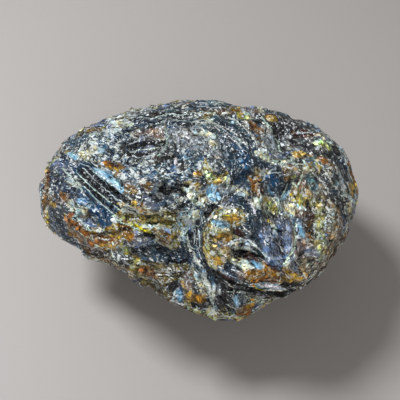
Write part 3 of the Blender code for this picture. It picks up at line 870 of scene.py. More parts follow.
# Ridges of both kinds, and the short ones that are scattered over the lump, in millimetres.
RIDGE_SEED = 29
RIDGE_CHANCE = 0.15  # the chance of a scattered ridge on the calmest rind
CRACK_SHARE = 0.3  # how many of them are cracks
RIDGE_POINTS = (4, 13)  # how many points they have
START_STRAY = 0.45  # how far they start off the grain
TURN_STRAY = 0.28  # and how far they turn at each point
RIDGE_WIDTHS = (0.25, 0.45)
WIDTH_RANGE = (0.7, 1.2)  # how the width of every ridge varies along it
LIGHTEST_RIDGE = 1.1  # how bright a ridge's lightest points are
RIDGE_POWDER = -0.5  # what the material reads on a ridge
RIDGE_GLOSS = 0.5

# The material's cells, and its mottles: how many waves each has to a millimetre, how many finer layers,
# and its offset.
GRAINS_PER_MM = 2.4
CELLS_PER_MM = 0.9
CLUMPS_PER_MM = 0.35
DRAW = 0.7  # how far the grains are drawn out along the grain of the rind
SWAY = 0.7  # how far the cells' edges sway, in millimetres
Mottle = namedtuple("Mottle", "per_mm layers offset")
SWAY_MOTTLE = Mottle(1.1, 1.0, 7.0)
FINE_MOTTLE = Mottle(2.3, 2.0, 13.0)
COARSE_MOTTLE = Mottle(0.42, 2.0, 3.0)
HUE_MOTTLE = Mottle(0.33, 3.0, 29.0)
SCRATCH_MOTTLE = Mottle(1.3, 1.0, 41.0)
SCRATCH_BREAKS = Mottle(1.17, 1.0, 44.0)
STREAK_BREAKS = Mottle(0.5, 2.0, 37.0)
MOTTLE_ROUGHNESS = 0.6
FINE_RANGE = (0.28, 0.72)  # the stretches of two mottles that are drawn out to 0 and 1
HUE_MOTTLE_RANGE = (0.38, 0.62)
HALF = (0.5, 0.5, 0.5)  # the middle of what a random colour can be

# How sharp the edges of the powder, the cracks with the painted shade in hollows, and the windows are.
POWDER_EDGE = 20
CRACK_AND_SHADE_EDGE = 8
WINDOW_EDGE = 5

# Scratches run where the square of a field is near 0, and only where a second field is high. Painted
# glints are the grains with the highest chance.
SCRATCH_LINE = (0.0009, 0.0003)
SCRATCH_ENDS = (0.63, 0.67)
STREAK_LINE = (0.008, 0.002)
STREAK_ENDS = (0.54, 0.60)
GLINT_SPECK_RANGE = (0.975, 0.992)

# The material's other colours, what the rind's colours are multiplied by where they turn warm or cool, how
# rough the amber is and how deep the bumps are.
# The colour of the painted glints.
GLINT_SPECK_COLOUR = (0.92, 0.93, 0.91)
SCRATCH_COLOUR = (0.84, 0.87, 0.84)
# Random cells of the amber are painted pale as highlights: their colour, the chances at which they start and
# are palest, and how far.
AMBER_HIGHLIGHT = (0.95, 0.82, 0.50)
AMBER_HIGHLIGHT_RANGE = (0.72, 0.95)  # the chances at which a cell of amber starts to be pale, and is palest
AMBER_HIGHLIGHT_SHARE = 0.7
WARM_TURN = (1.18, 1.03, 0.76)
COOL_TURN = (0.74, 1.0, 1.22)
NO_TURN = (1.0, 1.0, 1.0)
AMBER_ROUGHNESS = 0.14
BUMP_DEPTH = 0.28 * MM

# The stage, in metres and watts: a floor, a large soft light at a window and a weak one from the front.
FLOOR_SIZE = 3.0  # half the floor's width
FLOOR_ROUGHNESS = 0.6
WINDOW_PLACE = (-0.30, 0.14, 0.54)
WINDOW_SIZE = 0.20
BOUNCE_PLACE = (0.1, -0.6, 0.40)
BOUNCE_SIZE = 0.5
BOUNCE_POWER = 1.6
BOUNCE_COLOUR = (0.97, 0.98, 1.0)
ROOM_COLOUR = (0.95, 0.97, 1.0)
LIGHTS_AIM = (0, 0, 0.03)

# Odd numbers that stir a cell's address into random numbers, a cell's corners, and its neighbours.
HASH_STEPS = (np.uint32(0x8DA6B343), np.uint32(0xD8163841), np.uint32(0xCB1AB31F))
SEED_STEP = 7919
SEED_START = 101
SECOND_SEED = 50  # how far a cell's second three numbers' seed lies from its first
CUBE = np.array([(x, y, z) for x in (0, 1) for y in (0, 1) for z in (0, 1)], np.float32)
NEIGHBOURS = np.array([(x, y, z) for x in (-1, 0, 1) for y in (-1, 0, 1) for z in (-1, 0, 1)], np.float32)

# The columns of a table of finishes, as a Finish lists them, and the layers of the mesh that the material
# reads.
COLOUR = slice(0, 3)
CLEAR, POWDER, GLOSS, RISE, FLAKE, BUSY = range(3, 9)
COLUMNS = 9
LAYERS = (
    "red", "green", "blue", "window", "crust", "gloss", "busy", "bulge", "rim", "streak", "grain_x",
    "grain_y", "grain_z",
)

# The lump's worked surface: its points in millimetres, their finishes, how far each stands out, the streaks
# and the grain there, which lie on the front, the ball's mesh that joins them, and the solid's faces.
Skin = namedtuple("Skin", "points found bulge streak grain front mesh tree")

# Some closed forms together: their points in millimetres, their triangles, and their points' layers.
Part = namedtuple("Part", "points faces layers")


class AmberShape(bpy.types.PropertyGroup):
    """The sizes of the lump's surface."""

    detail: IntProperty(
        name="Detail", description="How often the starting ball is divided", default=8, min=5, max=9
    )
    faces: IntProperty(
        name="Faces", description="How many triangles the lump itself keeps", default=122000, min=20000
    )
    softening: IntProperty(
        name="Softening", description="How often the solid's facets are averaged", default=8, min=0, max=40
    )
    sink: FloatProperty(
        name="Sink", description="How far the surface lies inside the solid", default=0.15 * MM,
        unit="LENGTH"
    )
    flake_gap: FloatProperty(
        name="Flake gap", description="Room between the front's flakes, in flake widths", default=0.62,
        min=0.3
    )
    back_flake_gap: FloatProperty(
        name="Flake gap behind", description="Room between the other flakes, in flake widths", default=1.0,
        min=0.3
    )
    ridges: IntProperty(
        name="Ridges", description="How many short ridges may be scattered over the lump", default=700,
        min=0
    )
    ragged: FloatProperty(
        name="Ragged edges", description="How far a mark's edge strays", default=0.55 * MM, unit="LENGTH"
    )


class AmberLook(bpy.types.PropertyGroup):
    """The colours and values of the lump's material."""

    warm_powder: FloatVectorProperty(
        name="Warm powder", description="Colour of the weathered crust", default=(0.66, 0.60, 0.37),
        subtype="COLOR", min=0, max=1
    )
    cool_powder: FloatVectorProperty(
        name="Cool powder", description="Colour of the crust's bluish grains", default=(0.39, 0.56, 0.67),
        subtype="COLOR", min=0, max=1
    )
    # The cracks' dark colour, which also paints shade where the surface lies low.
    gap_colour: FloatVectorProperty(
        name="Gaps", description="Colour down in the cracks", default=(0.012, 0.011, 0.012),
        subtype="COLOR", min=0, max=1
    )
    richness: FloatProperty(
        name="Richness", description="How strong the rind's colours are", default=1.17, min=0, max=2
    )
    clearness: FloatProperty(
        name="Clearness", description="How see-through the amber's windows are", default=0.5,
        subtype="FACTOR", min=0, max=1
    )
    refraction: FloatProperty(
        name="Refraction", description="The amber's index of refraction", default=1.54, min=1, max=2
    )
    depth_colour: FloatVectorProperty(
        name="Depth colour", description="What light turns to inside the amber", default=(0.90, 0.50, 0.10),
        subtype="COLOR", min=0, max=1
    )
    depth_density: FloatProperty(
        name="Depth density", description="How fast the amber darkens with depth, per metre", default=140,
        min=0
    )


class AmberStage(bpy.types.PropertyGroup):
    """The floor, the lights and the camera."""

    floor_colour: FloatVectorProperty(
        name="Floor", description="Colour of the floor", default=(0.37, 0.335, 0.31),
        subtype="COLOR", min=0, max=1
    )
    window_power: FloatProperty(
        name="Window", description="Power of the large soft light", default=4.4, unit="POWER", min=0
    )
    window_colour: FloatVectorProperty(
        name="Window colour", description="Colour of the large soft light", default=(0.90, 0.95, 1.0),
        subtype="COLOR", min=0, max=1
    )
    room: FloatProperty(
        name="Room", description="Strength of the light from all round", default=0.25, min=0
    )


class Term:
    """A node's output used as a term in a sum: Python's operators add the nodes that work it out."""

    def __init__(self, tree, socket):
        self.tree, self.socket = tree, socket

    def node(self, kind, settings=None, **inputs):
        """Adds any node to the term's own tree."""
        return add_node(self.tree, kind, settings, **inputs)

    def _worked(self, operation, *terms):
        """One Math node for values, and one Vector Math node as soon as a term is a colour or a vector."""
        if not any(map(is_wide, terms)):
            return self.node("ShaderNodeMath", {"operation": operation}, **numbered(terms)).value
        wide = numbered(map(widened, terms))
        return self.node("ShaderNodeVectorMath", {"operation": operation}, **wide).vector

    def __add__(self, other):
        return self._worked("ADD", self, other)

    def __sub__(self, other):
        return self._worked("SUBTRACT", self, other)

    def __mul__(self, other):
        return self._worked("MULTIPLY", self, other)

    def __radd__(self, other):
        return self._worked("ADD", other, self)

    def __rsub__(self, other):
        return self._worked("SUBTRACT", other, self)

    def __rmul__(self, other):
        return self._worked("MULTIPLY", other, self)

    def dot(self, other):
        """The dot product of two vectors."""
        pair = numbered((self, other))
        return self.node("ShaderNodeVectorMath", {"operation": "DOT_PRODUCT"}, **pair).value

    def between(self, low, high):
        """0 at low and below, 1 at high and above, straight between."""
        ends = {"From_Min": low, "From_Max": high, "To_Min": 0.0, "To_Max": 1.0}
        return self.node("ShaderNodeMapRange", {"clamp": True}, Value=self, **ends).result


def is_wide(term):
    """True for a colour or a vector, as a link or as a tuple."""
    if isinstance(term, Term):
        return term.socket.type != "VALUE"
    return isinstance(term, tuple)


def widened(term):
    """A plain number as a vector of three, and any other term as it is."""
    return term if isinstance(term, (Term, tuple)) else (term, term, term)


def numbered(terms):
    """Terms under the names of the sockets that they go into, in order."""
    return {f"at_{i}": term for i, term in enumerate(terms)}


class Made:
    """A node that was added, whose outputs are read by name in lower case."""

    def __init__(self, tree, node):
        self.tree, self.node = tree, node

    def __getattr__(self, name):
        for socket in self.node.outputs:
            if socket.enabled and socket.name.lower().replace(" ", "_") == name:
                return Term(self.tree, socket)
        raise AttributeError(f"{self.node.bl_idname} has no output {name}")


def add_node(tree, kind, settings=None, **inputs):
    """Adds any node: its settings first, then the value or link of each socket, by name or as at_0, at_1."""
    node = tree.nodes.new(kind)
    for name, value in (settings or {}).items():
        setattr(node, name, value)
    open_sockets = [socket for socket in node.inputs if socket.enabled]
    for name, value in inputs.items():
        if name.startswith("at_"):
            socket = node.inputs[int(name[3:])]
        else:
            socket = next(s for s in open_sockets if s.name == name.replace("_", " "))
        if isinstance(value, Term):
            tree.links.new(value.socket, socket)
        elif socket.type == "RGBA":
            socket.default_value = (*value, 1.0)
        else:
            socket.default_value = value
    return Made(tree, node)


def mixed(low, high, share):
    """Low where share is 0 and high where it is 1, for colours."""
    settings = {"data_type": "RGBA", "clamp_factor": True}
    return add_node(share.tree, "ShaderNodeMix", settings, Factor=share, A=low, B=high).result


def new_material(name):
    """An empty material."""
    material = bpy.data.materials.new(name)
    material.use_nodes = True
    material.node_tree.nodes.clear()
    return material


def smooth(low, high, values):
    """0 below low, 1 above high, and a smooth rise between."""
    share = np.clip((values - low) / (high - low), 0, 1)
    return share * share * (3 - 2 * share)


def ball(detail):
    """A ball of even triangles: the unit directions of its corners, its edges and its mesh."""
    form = bmesh.new()
    bmesh.ops.create_icosphere(form, subdivisions=detail, radius=1)
    mesh = bpy.data.meshes.new(NODE + "_surface")
    form.to_mesh(mesh)
    form.free()
    corners = np.empty(len(mesh.vertices) * 3, np.float32)
    mesh.vertices.foreach_get("co", corners)
    directions = corners.reshape(-1, 3).astype(float)
    directions /= np.linalg.norm(directions, axis=1)[:, None]
    edges = np.empty(len(mesh.edges) * 2, np.int32)
    mesh.edges.foreach_get("vertices", edges)
    return directions, edges.reshape(-1, 2), mesh


def solid_tree():
    """The solid's faces, for rays, in millimetres."""
    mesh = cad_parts[NODE].data
    corners = [Vector(v.co) / MM for v in mesh.vertices]
    return BVHTree.FromPolygons(corners, [tuple(face.vertices) for face in mesh.polygons])


def solid_reach(tree, directions):
    """How far from the middle the solid's surface lies in each direction."""
    start = Vector(MIDDLE)
    reach = []
    for direction in directions:
        hit = tree.ray_cast(start, Vector(direction))[0]
        if hit is None:
            raise RuntimeError("the solid doesn't surround its middle")
        reach.append((hit - start).length)
    return np.array(reach)


def averaged(values, edges, times):
    """Each value moved halfway to the mean of its neighbours', that many times."""
    a, b = edges.T
    size = len(values)
    degree = np.bincount(a, minlength=size) + np.bincount(b, minlength=size)
    for _ in range(times):
        around = np.bincount(a, values[b], size) + np.bincount(b, values[a], size)
        values = 0.5 * values + 0.5 * around / degree
    return values


def camera_axes():
    """The camera's place in millimetres, and its right, up and forward directions."""
    tilt = math.radians(CAMERA_ELEVATION)
    right = np.array((1.0, 0.0, 0.0))
    forward = np.array((0.0, math.cos(tilt), -math.sin(tilt)))
    up = np.array((0.0, math.sin(tilt), math.cos(tilt)))
    return AIM - CAMERA_DISTANCE * forward, right, up, forward


def placed(tree, point):
    """Where the ray through a point of the camera's frame meets the solid, drawn in if it just misses."""
    eye, right, up, forward = camera_axes()
    half = FRAME_SIDE / 2
    for share in DRAWN_IN:
        x, y = (at + (middle - at) * share for at, middle in zip(point, FRAME_MIDDLE))
        ray = forward + right * (x - half) / FOCAL_UNITS + up * (half - y) / FOCAL_UNITS
        hit = tree.ray_cast(Vector(eye), Vector(ray).normalized())[0]
        if hit is not None:
            return np.array(hit)
    return None


def laid(tree, places):
    """Where the points of a line in the camera's frame fall on the solid."""
    path = [spot for spot in (placed(tree, place) for place in places) if spot is not None]
    if not path:
        raise RuntimeError(f"a mark at {places[0]} misses the lump")
    return path


def close_by(points, path, margin):
    """Which points lie within a margin of a path, roughly."""
    middle = np.mean(path, axis=0)
    span = max(np.linalg.norm(spot - middle) for spot in path) + margin
    return np.flatnonzero((np.abs(points - middle) < span).all(axis=1))


def away_from(points, path):
    """How far each point lies from a path of straight runs."""
    if len(path) == 1:
        return np.linalg.norm(points - path[0], axis=1)
    nearest = np.full(len(points), np.inf)
    for start, end in zip(path, path[1:]):
        run = end - start
        share = np.clip((points - start) @ run / max(run @ run, TINY), 0, 1)
        nearest = np.minimum(nearest, np.linalg.norm(points - start - share[:, None] * run, axis=1))
    return nearest


def beside(points, path):
    """How far each point lies from a path, plus on its left seen from outside, and how far past its ends."""
    outward = points - MIDDLE
    nearest = np.full(len(points), np.inf)
    signed, past = np.zeros((2, len(points)))
    for i, (start, end) in enumerate(zip(path, path[1:])):
        run = end - start
        length = np.linalg.norm(run)
        along = (points - start) @ run / length
        off = points - start - np.clip(along, 0, length)[:, None] * run / length
        far = np.linalg.norm(off, axis=1)
        beyond = np.zeros(len(points))
        if i == 0:
            beyond = np.maximum(beyond, -along)
        if i == len(path) - 2:
            beyond = np.maximum(beyond, along - length)
        better = far < nearest
        nearest = np.where(better, far, nearest)
        signed = np.where(better, np.copysign(far, (np.cross(outward, run) * off).sum(axis=1)), signed)
        past = np.where(better, beyond, past)
    return signed, past


def dice(cells, seed):
    """Three even random numbers from 0 to 1 for each whole-numbered cell, the same on every run."""
    x, y, z = cells.astype(np.int64).astype(np.uint32).T
    stirred = np.uint32(seed * SEED_STEP + SEED_START)
    mixed_up = x * HASH_STEPS[0] ^ y * HASH_STEPS[1] ^ z * HASH_STEPS[2] ^ stirred
    found = []
    for step in HASH_STEPS:
        mixed_up = (mixed_up ^ (mixed_up >> np.uint32(15))) * step
        mixed_up = mixed_up ^ (mixed_up >> np.uint32(13))
        found.append((mixed_up >> np.uint32(8)).astype(np.float32) / np.float32(1 << 24))
    return np.stack(found, axis=1)


def noise_at(points, wavelength, seed):
    """Smooth noise, about -0.6 to 0.6, that turns over once a wavelength."""
    at = (points / wavelength).astype(np.float32)
    base = np.floor(at)
    inside = at - base
    ease = inside * inside * inside * (inside * (inside * 6 - 15) + 10)
    total = np.zeros(len(points), np.float32)
    for corner in CUBE:
        slope = 2 * dice(base + corner, seed) - 1
        weight = np.where(corner, ease, 1 - ease).prod(axis=1)
        total += weight * (slope * (inside - corner)).sum(axis=1)
    return total


def scooped(points, spacing, bend, tip, seed, grain=None):
    """A surface hollowed by scoops, one round each point of an uneven lattice: the lowest scoop wins.

    Gives its height in spacings, how far each point lies below the next scoop, and each scoop's chances.
    Scoops are drawn out along the grain, where there is one.
    """
    at = (points / spacing).astype(np.float32)
    base = np.floor(at)
    lowest = np.full(len(points), np.inf, np.float32)
    second = lowest.copy()
    chances = np.zeros((len(points), 3), np.float32)
    for step in NEIGHBOURS:
        cell = base + step
        random = dice(cell, seed)
        other = dice(cell, seed + SECOND_SEED)
        away = at - cell - random
        far = (away**2).sum(axis=1)
        if grain is not None:
            far -= LENGTHENING * (away * grain).sum(axis=1) ** 2
        height = bend * far + tip * ((other * 2 - 1) * away).sum(axis=1)
        wins = height < lowest
        second = np.where(wins, lowest, np.minimum(second, height))
        lowest = np.where(wins, height, lowest)
        chances[wins] = other[wins]
    return lowest, second - lowest, chances


def values_of(name):
    """A finish as a row of numbers, in the order of its columns."""
    finish = FINISHES[name]
    return np.array((*finish.colour, *finish[1:]))


def strayed(points, sizes):
    """Noise of a few sizes, added up."""
    return sum(size.strength * noise_at(points, size.length, size.seed) for size in sizes)


def steadied(stray, width):
    """A stray as it is on a line of this width: a thin line strays less."""
    return stray * min(1, width / STEADY_WIDTH)


def scattered(points, front):
    """The finish of every point before any mark: cells of noise, each with a finish of its own."""
    names = list(FINISHES)
    table = np.array([values_of(name) for name in names])
    found = np.zeros((len(points), COLUMNS))
    wander = np.stack([noise_at(points, WANDER_LENGTH, seed) for seed in WANDER_SEEDS], axis=1)
    close = points * np.where(front, 1, BACK_CLOSENESS)[:, None]
    for layer, (size, share) in enumerate(zip(ZONE_SIZES, ZONE_SHARES)):
        chances = scooped(close + wander * size * ZONE_WANDER, size, 1.0, 0.0, ZONE_SEED + layer)[2]
        kinds = np.empty((2, len(points)), int)
        for row, zones in enumerate((BACK_ZONES, FRONT_ZONES)):
            ends = np.cumsum([often for _, often in zones], dtype=float)
            which = np.searchsorted(ends / ends[-1], chances[:, 0])
            kinds[row] = np.array([names.index(name) for name, _ in zones])[which]
        keep = chances[:, 1] < share
        found[keep] = table[np.where(front, kinds[1], kinds[0])][keep]
    return found


def marked(points, found, tree, ragged):
    """Lays the grounds and the marks over the scattered finishes."""
    stray = ragged * strayed(points, MARK_STRAY) / NOISE_REACH
    for name, marks in (*GROUNDS.items(), *MARKS.items()):
        values = values_of(name)
        for width, *places in marks:
            path = laid(tree, places)
            near = close_by(points, path, width + MARK_MARGIN)
            far = away_from(points[near], path) + steadied(stray[near], width)
            share = smooth(width / 2 + MARK_BLUR, width / 2 - MARK_BLUR, far)[:, None]
            found[near] = found[near] * (1 - share) + values * share
    return found


def flow_directions(points, tree):
    """The way the grain runs at each point: along the nearest flow lines, and round an axis elsewhere."""
    total = np.cross(GRAIN_AXIS, points - MIDDLE)
    total /= np.linalg.norm(total, axis=1)[:, None]
    total *= GRAIN_PULL
    for line in FLOWS:
        path = laid(tree, line)
        for start, end in zip(path, path[1:]):
            run = (end - start) / np.linalg.norm(end - start)
            pull = (1 + (away_from(points, (start, end)) / FLOW_REACH) ** 2) ** -FLOW_FADE
            facing = np.sign(total @ run)
            total += (pull * np.where(facing == 0, 1, facing))[:, None] * run
    return total / np.linalg.norm(total, axis=1)[:, None]


def streaks(points, directions, wavelength, seed):
    """Noise drawn out along the grain, from about -1 to 1."""
    total = np.zeros(len(points))
    for step in STREAK_STEPS:
        total += noise_at(points + directions * step * wavelength, wavelength, seed)
    return total / len(STREAK_STEPS) * STREAK_GAIN


def terraced(field, steps):
    """A smooth field cut into level treads with steep risers, and how near each point is to a brink."""
    climb = field * steps
    tread = np.floor(climb)
    part = climb - tread
    return (tread + smooth(RISER_START, 1.0, part)) / steps, smooth(BRINK_WIDTH, 0.0, part)


def relief(points, tree):
    """The height, in millimetres, of the listed swells and ledges."""
    total = np.zeros(len(points))
    stray = strayed(points, RELIEF_STRAY)
    for height, width, *places in SWELLS:
        path = laid(tree, places)
        near = close_by(points, path, SWELL_MARGIN * width + 1)
        far = np.abs(away_from(points[near], path) + steadied(stray[near], width))
        total[near] += height * np.exp(-((far / (SWELL_TOP * width)) ** 2))
    for height, fade, *places in LEDGES:
        path = laid(tree, places)
        near = close_by(points, path, LEDGE_MARGIN * fade + 1)
        signed, past = beside(points[near], path)
        signed += stray[near]
        risen = LEDGE_BOOST * height * smooth(LEDGE_START, LEDGE_FULL, signed)
        total[near] += risen * np.exp(-np.maximum(signed, 0) / fade - past / LEDGE_END)
    return total


def surface(shape):
    """The lump's worked surface: the solid's own, softened, then terraced and chipped along the grain."""
    directions, edges, mesh = ball(shape.detail)
    tree = solid_tree()
    reach = averaged(solid_reach(tree, directions), edges, shape.softening) - shape.sink / MM
    points = MIDDLE + directions * reach[:, None]
    front = on_front(points)
    found = marked(points, scattered(points, front), tree, shape.ragged / MM)
    grain = flow_directions(points, tree)
    broad = streaks(points, grain, STREAK_LENGTH, STREAK_SEED)
    sheets = streaks(points, grain, SHEET_LENGTH, SHEET_SEED) + strayed(points, SHEET_NOISE)
    treads, brink = terraced(sheets, SHEETS)
    reach += relief(points, tree)
    calm = CALM_RELIEF + (1 - CALM_RELIEF) * np.clip(found[:, BUSY] / FULL_BUSY, 0, 1)
    reach += treads * SHEET_DEPTH * np.where(front, FRONT_SHEETS, 1.0) * calm
    tone = np.ones(len(points))
    for chips in CHIPS:
        height, rim, chances = scooped(points, chips.spacing, chips.bend, chips.tip, chips.seed, grain)
        reach += (height - np.median(height)) * chips.spacing * np.where(front, FRONT_CHIPS, 1.0) * calm
        tone *= 1 + chips.contrast * (2 * chances[:, 0] - 1)
        found[:, POWDER] += chips.lining * smooth(LINING_WIDTH, 0.0, rim)
    found[:, POWDER] += BRINK_POWDER * brink
    reach += found[:, RISE] + STREAK_HEIGHT * broad * (1 - GLOSS_CALM * found[:, GLOSS])
    found[:, COLOUR] *= np.clip(tone, DARKEST, LIGHTEST)[:, None]
    # Painted shade over the bed that the flakes lie in.
    found[:, COLOUR] *= BED_SHADE
    bulge = reach - averaged(reach, edges, BULGE_ROUNDS)
    points = MIDDLE + directions * reach[:, None]
    return Skin(points, found, bulge, broad, grain, front, mesh, tree)


def on_front(points):
    """True on the side of the lump that its marks are on."""
    return ((points - MIDDLE) * (camera_axes()[0] - MIDDLE)).sum(axis=1) > 0


def outward_normals(mesh, points):
    """Which way the surface through the points faces at each."""
    mesh.vertices.foreach_set("co", points.astype(np.float32).ravel())
    mesh.update()
    found = np.empty(len(points) * 3, np.float32)
    mesh.vertex_normals.foreach_get("vector", found)
    return found.reshape(-1, 3).astype(float)


def layered(found, bulge, rim, streak, grain):
    """The values of LAYERS for points with the given finishes."""
    return np.column_stack((found[:, :RISE], found[:, BUSY], bulge, rim, streak, grain))


def set_layers(mesh, layers):
    """Stores a column of values for each of LAYERS on a mesh."""
    for name, values in zip(LAYERS, layers.T):
        attribute = mesh.attributes.new(name, "FLOAT", "POINT")
        attribute.data.foreach_set("value", values.astype(np.float32))
    mesh.update()


def lump_part(skin, faces):
    """The lump itself, thinned to a number of triangles, smallest on the front and where it turns most."""
    mesh = skin.mesh
    mesh.vertices.foreach_set("co", skin.points.astype(np.float32).ravel())
    flat = np.zeros(len(skin.points))
    set_layers(mesh, layered(skin.found, skin.bulge, flat, skin.streak, skin.grain))
    helper = linked(bpy.data.objects.new("helper", mesh))
    helper.vertex_groups.new(name="behind").add(np.flatnonzero(~skin.front).tolist(), 1.0, "REPLACE")
    left = FRONT_SHARE + BACK_SHARE * faces / len(mesh.polygons)
    thin = helper.modifiers.new("Thin behind", "DECIMATE")
    thin.vertex_group = "behind"
    thin.ratio = left
    thin = helper.modifiers.new("Thin", "DECIMATE")
    thin.ratio = faces / len(mesh.polygons) / left
    bpy.context.view_layer.update()
    thinned = helper.evaluated_get(bpy.context.evaluated_depsgraph_get()).to_mesh()
    count = len(thinned.vertices)
    corners = np.empty(count * 3, np.float32)
    thinned.vertices.foreach_get("co", corners)
    loops = np.empty(len(thinned.loops), np.int32)
    thinned.loops.foreach_get("vertex_index", loops)
    kept = np.empty((len(LAYERS), count), np.float32)
    for name, row in zip(LAYERS, kept):
        thinned.attributes[name].data.foreach_get("value", row)
    bpy.data.objects.remove(helper)
    bpy.data.meshes.remove(mesh)
    return Part(corners.reshape(-1, 3).astype(float), loops.reshape(-1, 3), kept.T)


def spread(points, widths, gaps, tries, rng):
    """Points picked at random so that each keeps its own gap to the others."""
    picked, places, rooms = [], np.empty((tries, 3)), np.empty(tries)
    for i in rng.integers(len(points), size=tries):
        count = len(picked)
        room = widths[i] * gaps[i]
        if not room:
            continue
        least = 0.5 * (rooms[:count] + room)
        if (((places[:count] - points[i]) ** 2).sum(axis=1) > least**2).all():
            places[count], rooms[count] = points[i], room
            picked.append(i)
    return np.array(picked)


def ridge_room(points, tree):
    """True near the listed ridges, where no flake may hide them."""
    taken = np.zeros(len(points), bool)
    for width, *places in (line for lines in RIDGES.values() for line in lines):
        path = laid(tree, places)
        near = close_by(points, path, RIDGE_MARGIN)
        taken[near[away_from(points[near], path) < width / 2 + RIDGE_ROOM]] = True
    return taken


def flake_finishes(values, rng):
    """The finishes of flakes: the ground's own under each, a few from elsewhere, each a little different."""
    count, busy = len(values), values[:, BUSY].copy()
    odd = rng.random(count) < ODD_CHANCE * busy
    zones = [name for name, often in FRONT_ZONES if often > COMMON]
    values[odd] = np.array([values_of(zones[i]) for i in rng.integers(len(zones), size=odd.sum())])
    values[odd, COLOUR] *= BED_SHADE
    tones = np.exp(rng.normal(0, CALM_TONES + BUSY_TONES * busy))[:, None]
    values[:, COLOUR] *= tones * rng.uniform(*HUE_RANGE, (count, 3))
    values[:, COLOUR] *= np.where(values[:, CLEAR, None] > WINDOW, 1, FLAKE_TONE) / BED_SHADE
    values[:, POWDER] *= FLAKE_POWDER
    return values


def flake_corners(place, normal, heading, width, busy, clear, rng):
    """The corners of each flake, top first, then the ring, then the buried root, and the way it runs."""
    count, half = len(place), width / 2
    lean = (CALM_LEAN + BUSY_LEAN * busy) / np.maximum(1, width / STEADY_FLAKE)
    face = normal + rng.uniform(-1, 1, (count, 3)) * lean[:, None]
    face /= np.linalg.norm(face, axis=1)[:, None]
    long = heading + rng.normal(0, GRAIN_STRAY, (count, 3))
    long -= (long * face).sum(axis=1)[:, None] * face
    long /= np.linalg.norm(long, axis=1)[:, None]
    wide = np.cross(face, long)
    stretch = 1.0 + STRETCH * rng.random(count) ** 2 * ~clear
    centre = place + normal * rng.uniform(0.0, LIFT, count)[:, None]
    turns = np.arange(CORNERS) + rng.uniform(-CORNER_STRAY, CORNER_STRAY, (count, CORNERS))
    angles = turns * 2 * math.pi / CORNERS
    radii = half[:, None] * rng.uniform(*CORNER_REACH, (count, CORNERS))
    ring = (
        centre[:, None]
        + (np.cos(angles) * radii * stretch[:, None])[:, :, None] * long[:, None]
        + (np.sin(angles) * radii / np.sqrt(stretch)[:, None])[:, :, None] * wide[:, None]
    )
    top = centre + face * (half * rng.uniform(*TOP_RANGE, count))[:, None]
    push = long * rng.uniform(-TOP_PUSH, TOP_PUSH, (count, 1))
    top += (push + wide * rng.uniform(-TOP_PUSH, TOP_PUSH, (count, 1))) * half[:, None]
    root = place - normal * (ROOT_DEPTH + ROOT_SHARE * half)[:, None]
    return np.concatenate((top[:, None], ring, root[:, None]), axis=1), long


def flakes(skin, normals, shape):
    """Small closed flakes bedded in the surface: a six-sided top over a buried point."""
    rng = np.random.default_rng(FLAKE_SEED)
    points, busy = skin.points, skin.found[:, BUSY]
    widths = skin.found[:, FLAKE] * (SMALLEST + LARGER * rng.random(len(points)) ** 2)
    gaps = np.where(skin.front, shape.flake_gap, shape.back_flake_gap)
    gaps = gaps * (CALM_ROOM - BUSY_CROWDING * busy)
    widths[ridge_room(points, skin.tree) | (busy == 0)] = 0
    at = spread(points, widths, gaps, FLAKE_TRIES, rng)
    values = flake_finishes(skin.found[at], rng)
    clear = values[:, CLEAR] >= WINDOW
    corners, long = flake_corners(points[at], normals[at], skin.grain[at], widths[at], busy[at], clear, rng)
    count, size = len(at), CORNERS + 2
    turns = [(1 + i, 1 + (i + 1) % CORNERS) for i in range(CORNERS)]
    one = [(0, a, b) for a, b in turns] + [(CORNERS + 1, b, a) for a, b in turns]
    faces = (np.arange(count)[:, None, None] * size + np.array(one)).reshape(-1, 3)
    rim = np.zeros((count, size))
    rim[:, 1:-1] = (rng.random(count) < PALE_EDGES)[:, None]
    still = np.zeros(count * size)
    values, long = np.repeat(values, size, axis=0), np.repeat(long, size, axis=0)
    return Part(corners.reshape(-1, 3), faces, layered(values, still, rim.ravel(), still, long))


def crisp_strip(spots, normals, widths, height):
    """A closed ridge along a row of spots, three-cornered across, so many of its widths high."""
    widths, heights = STRIP_WIDTH * widths, widths * height
    side = np.cross(np.gradient(spots, axis=0), normals)
    side /= np.maximum(np.linalg.norm(side, axis=1), TINY)[:, None]
    left = spots - side * widths[:, None] / 2 - normals * STRIP_ROOT
    right = spots + side * widths[:, None] / 2 - normals * STRIP_ROOT
    crest = spots + normals * (STRIP_CREST + heights)[:, None]
    corners = np.stack((left, right, crest), axis=1).reshape(-1, 3)
    faces = [(0, 1, 2), (3 * len(spots) - 3, 3 * len(spots) - 1, 3 * len(spots) - 2)]
    for i in range(len(spots) - 1):
        a = 3 * i
        for j, k in ((0, 1), (1, 2), (2, 0)):
            faces += [(a + j, a + 3 + j, a + 3 + k), (a + j, a + 3 + k, a + k)]
    return corners, np.array(faces)


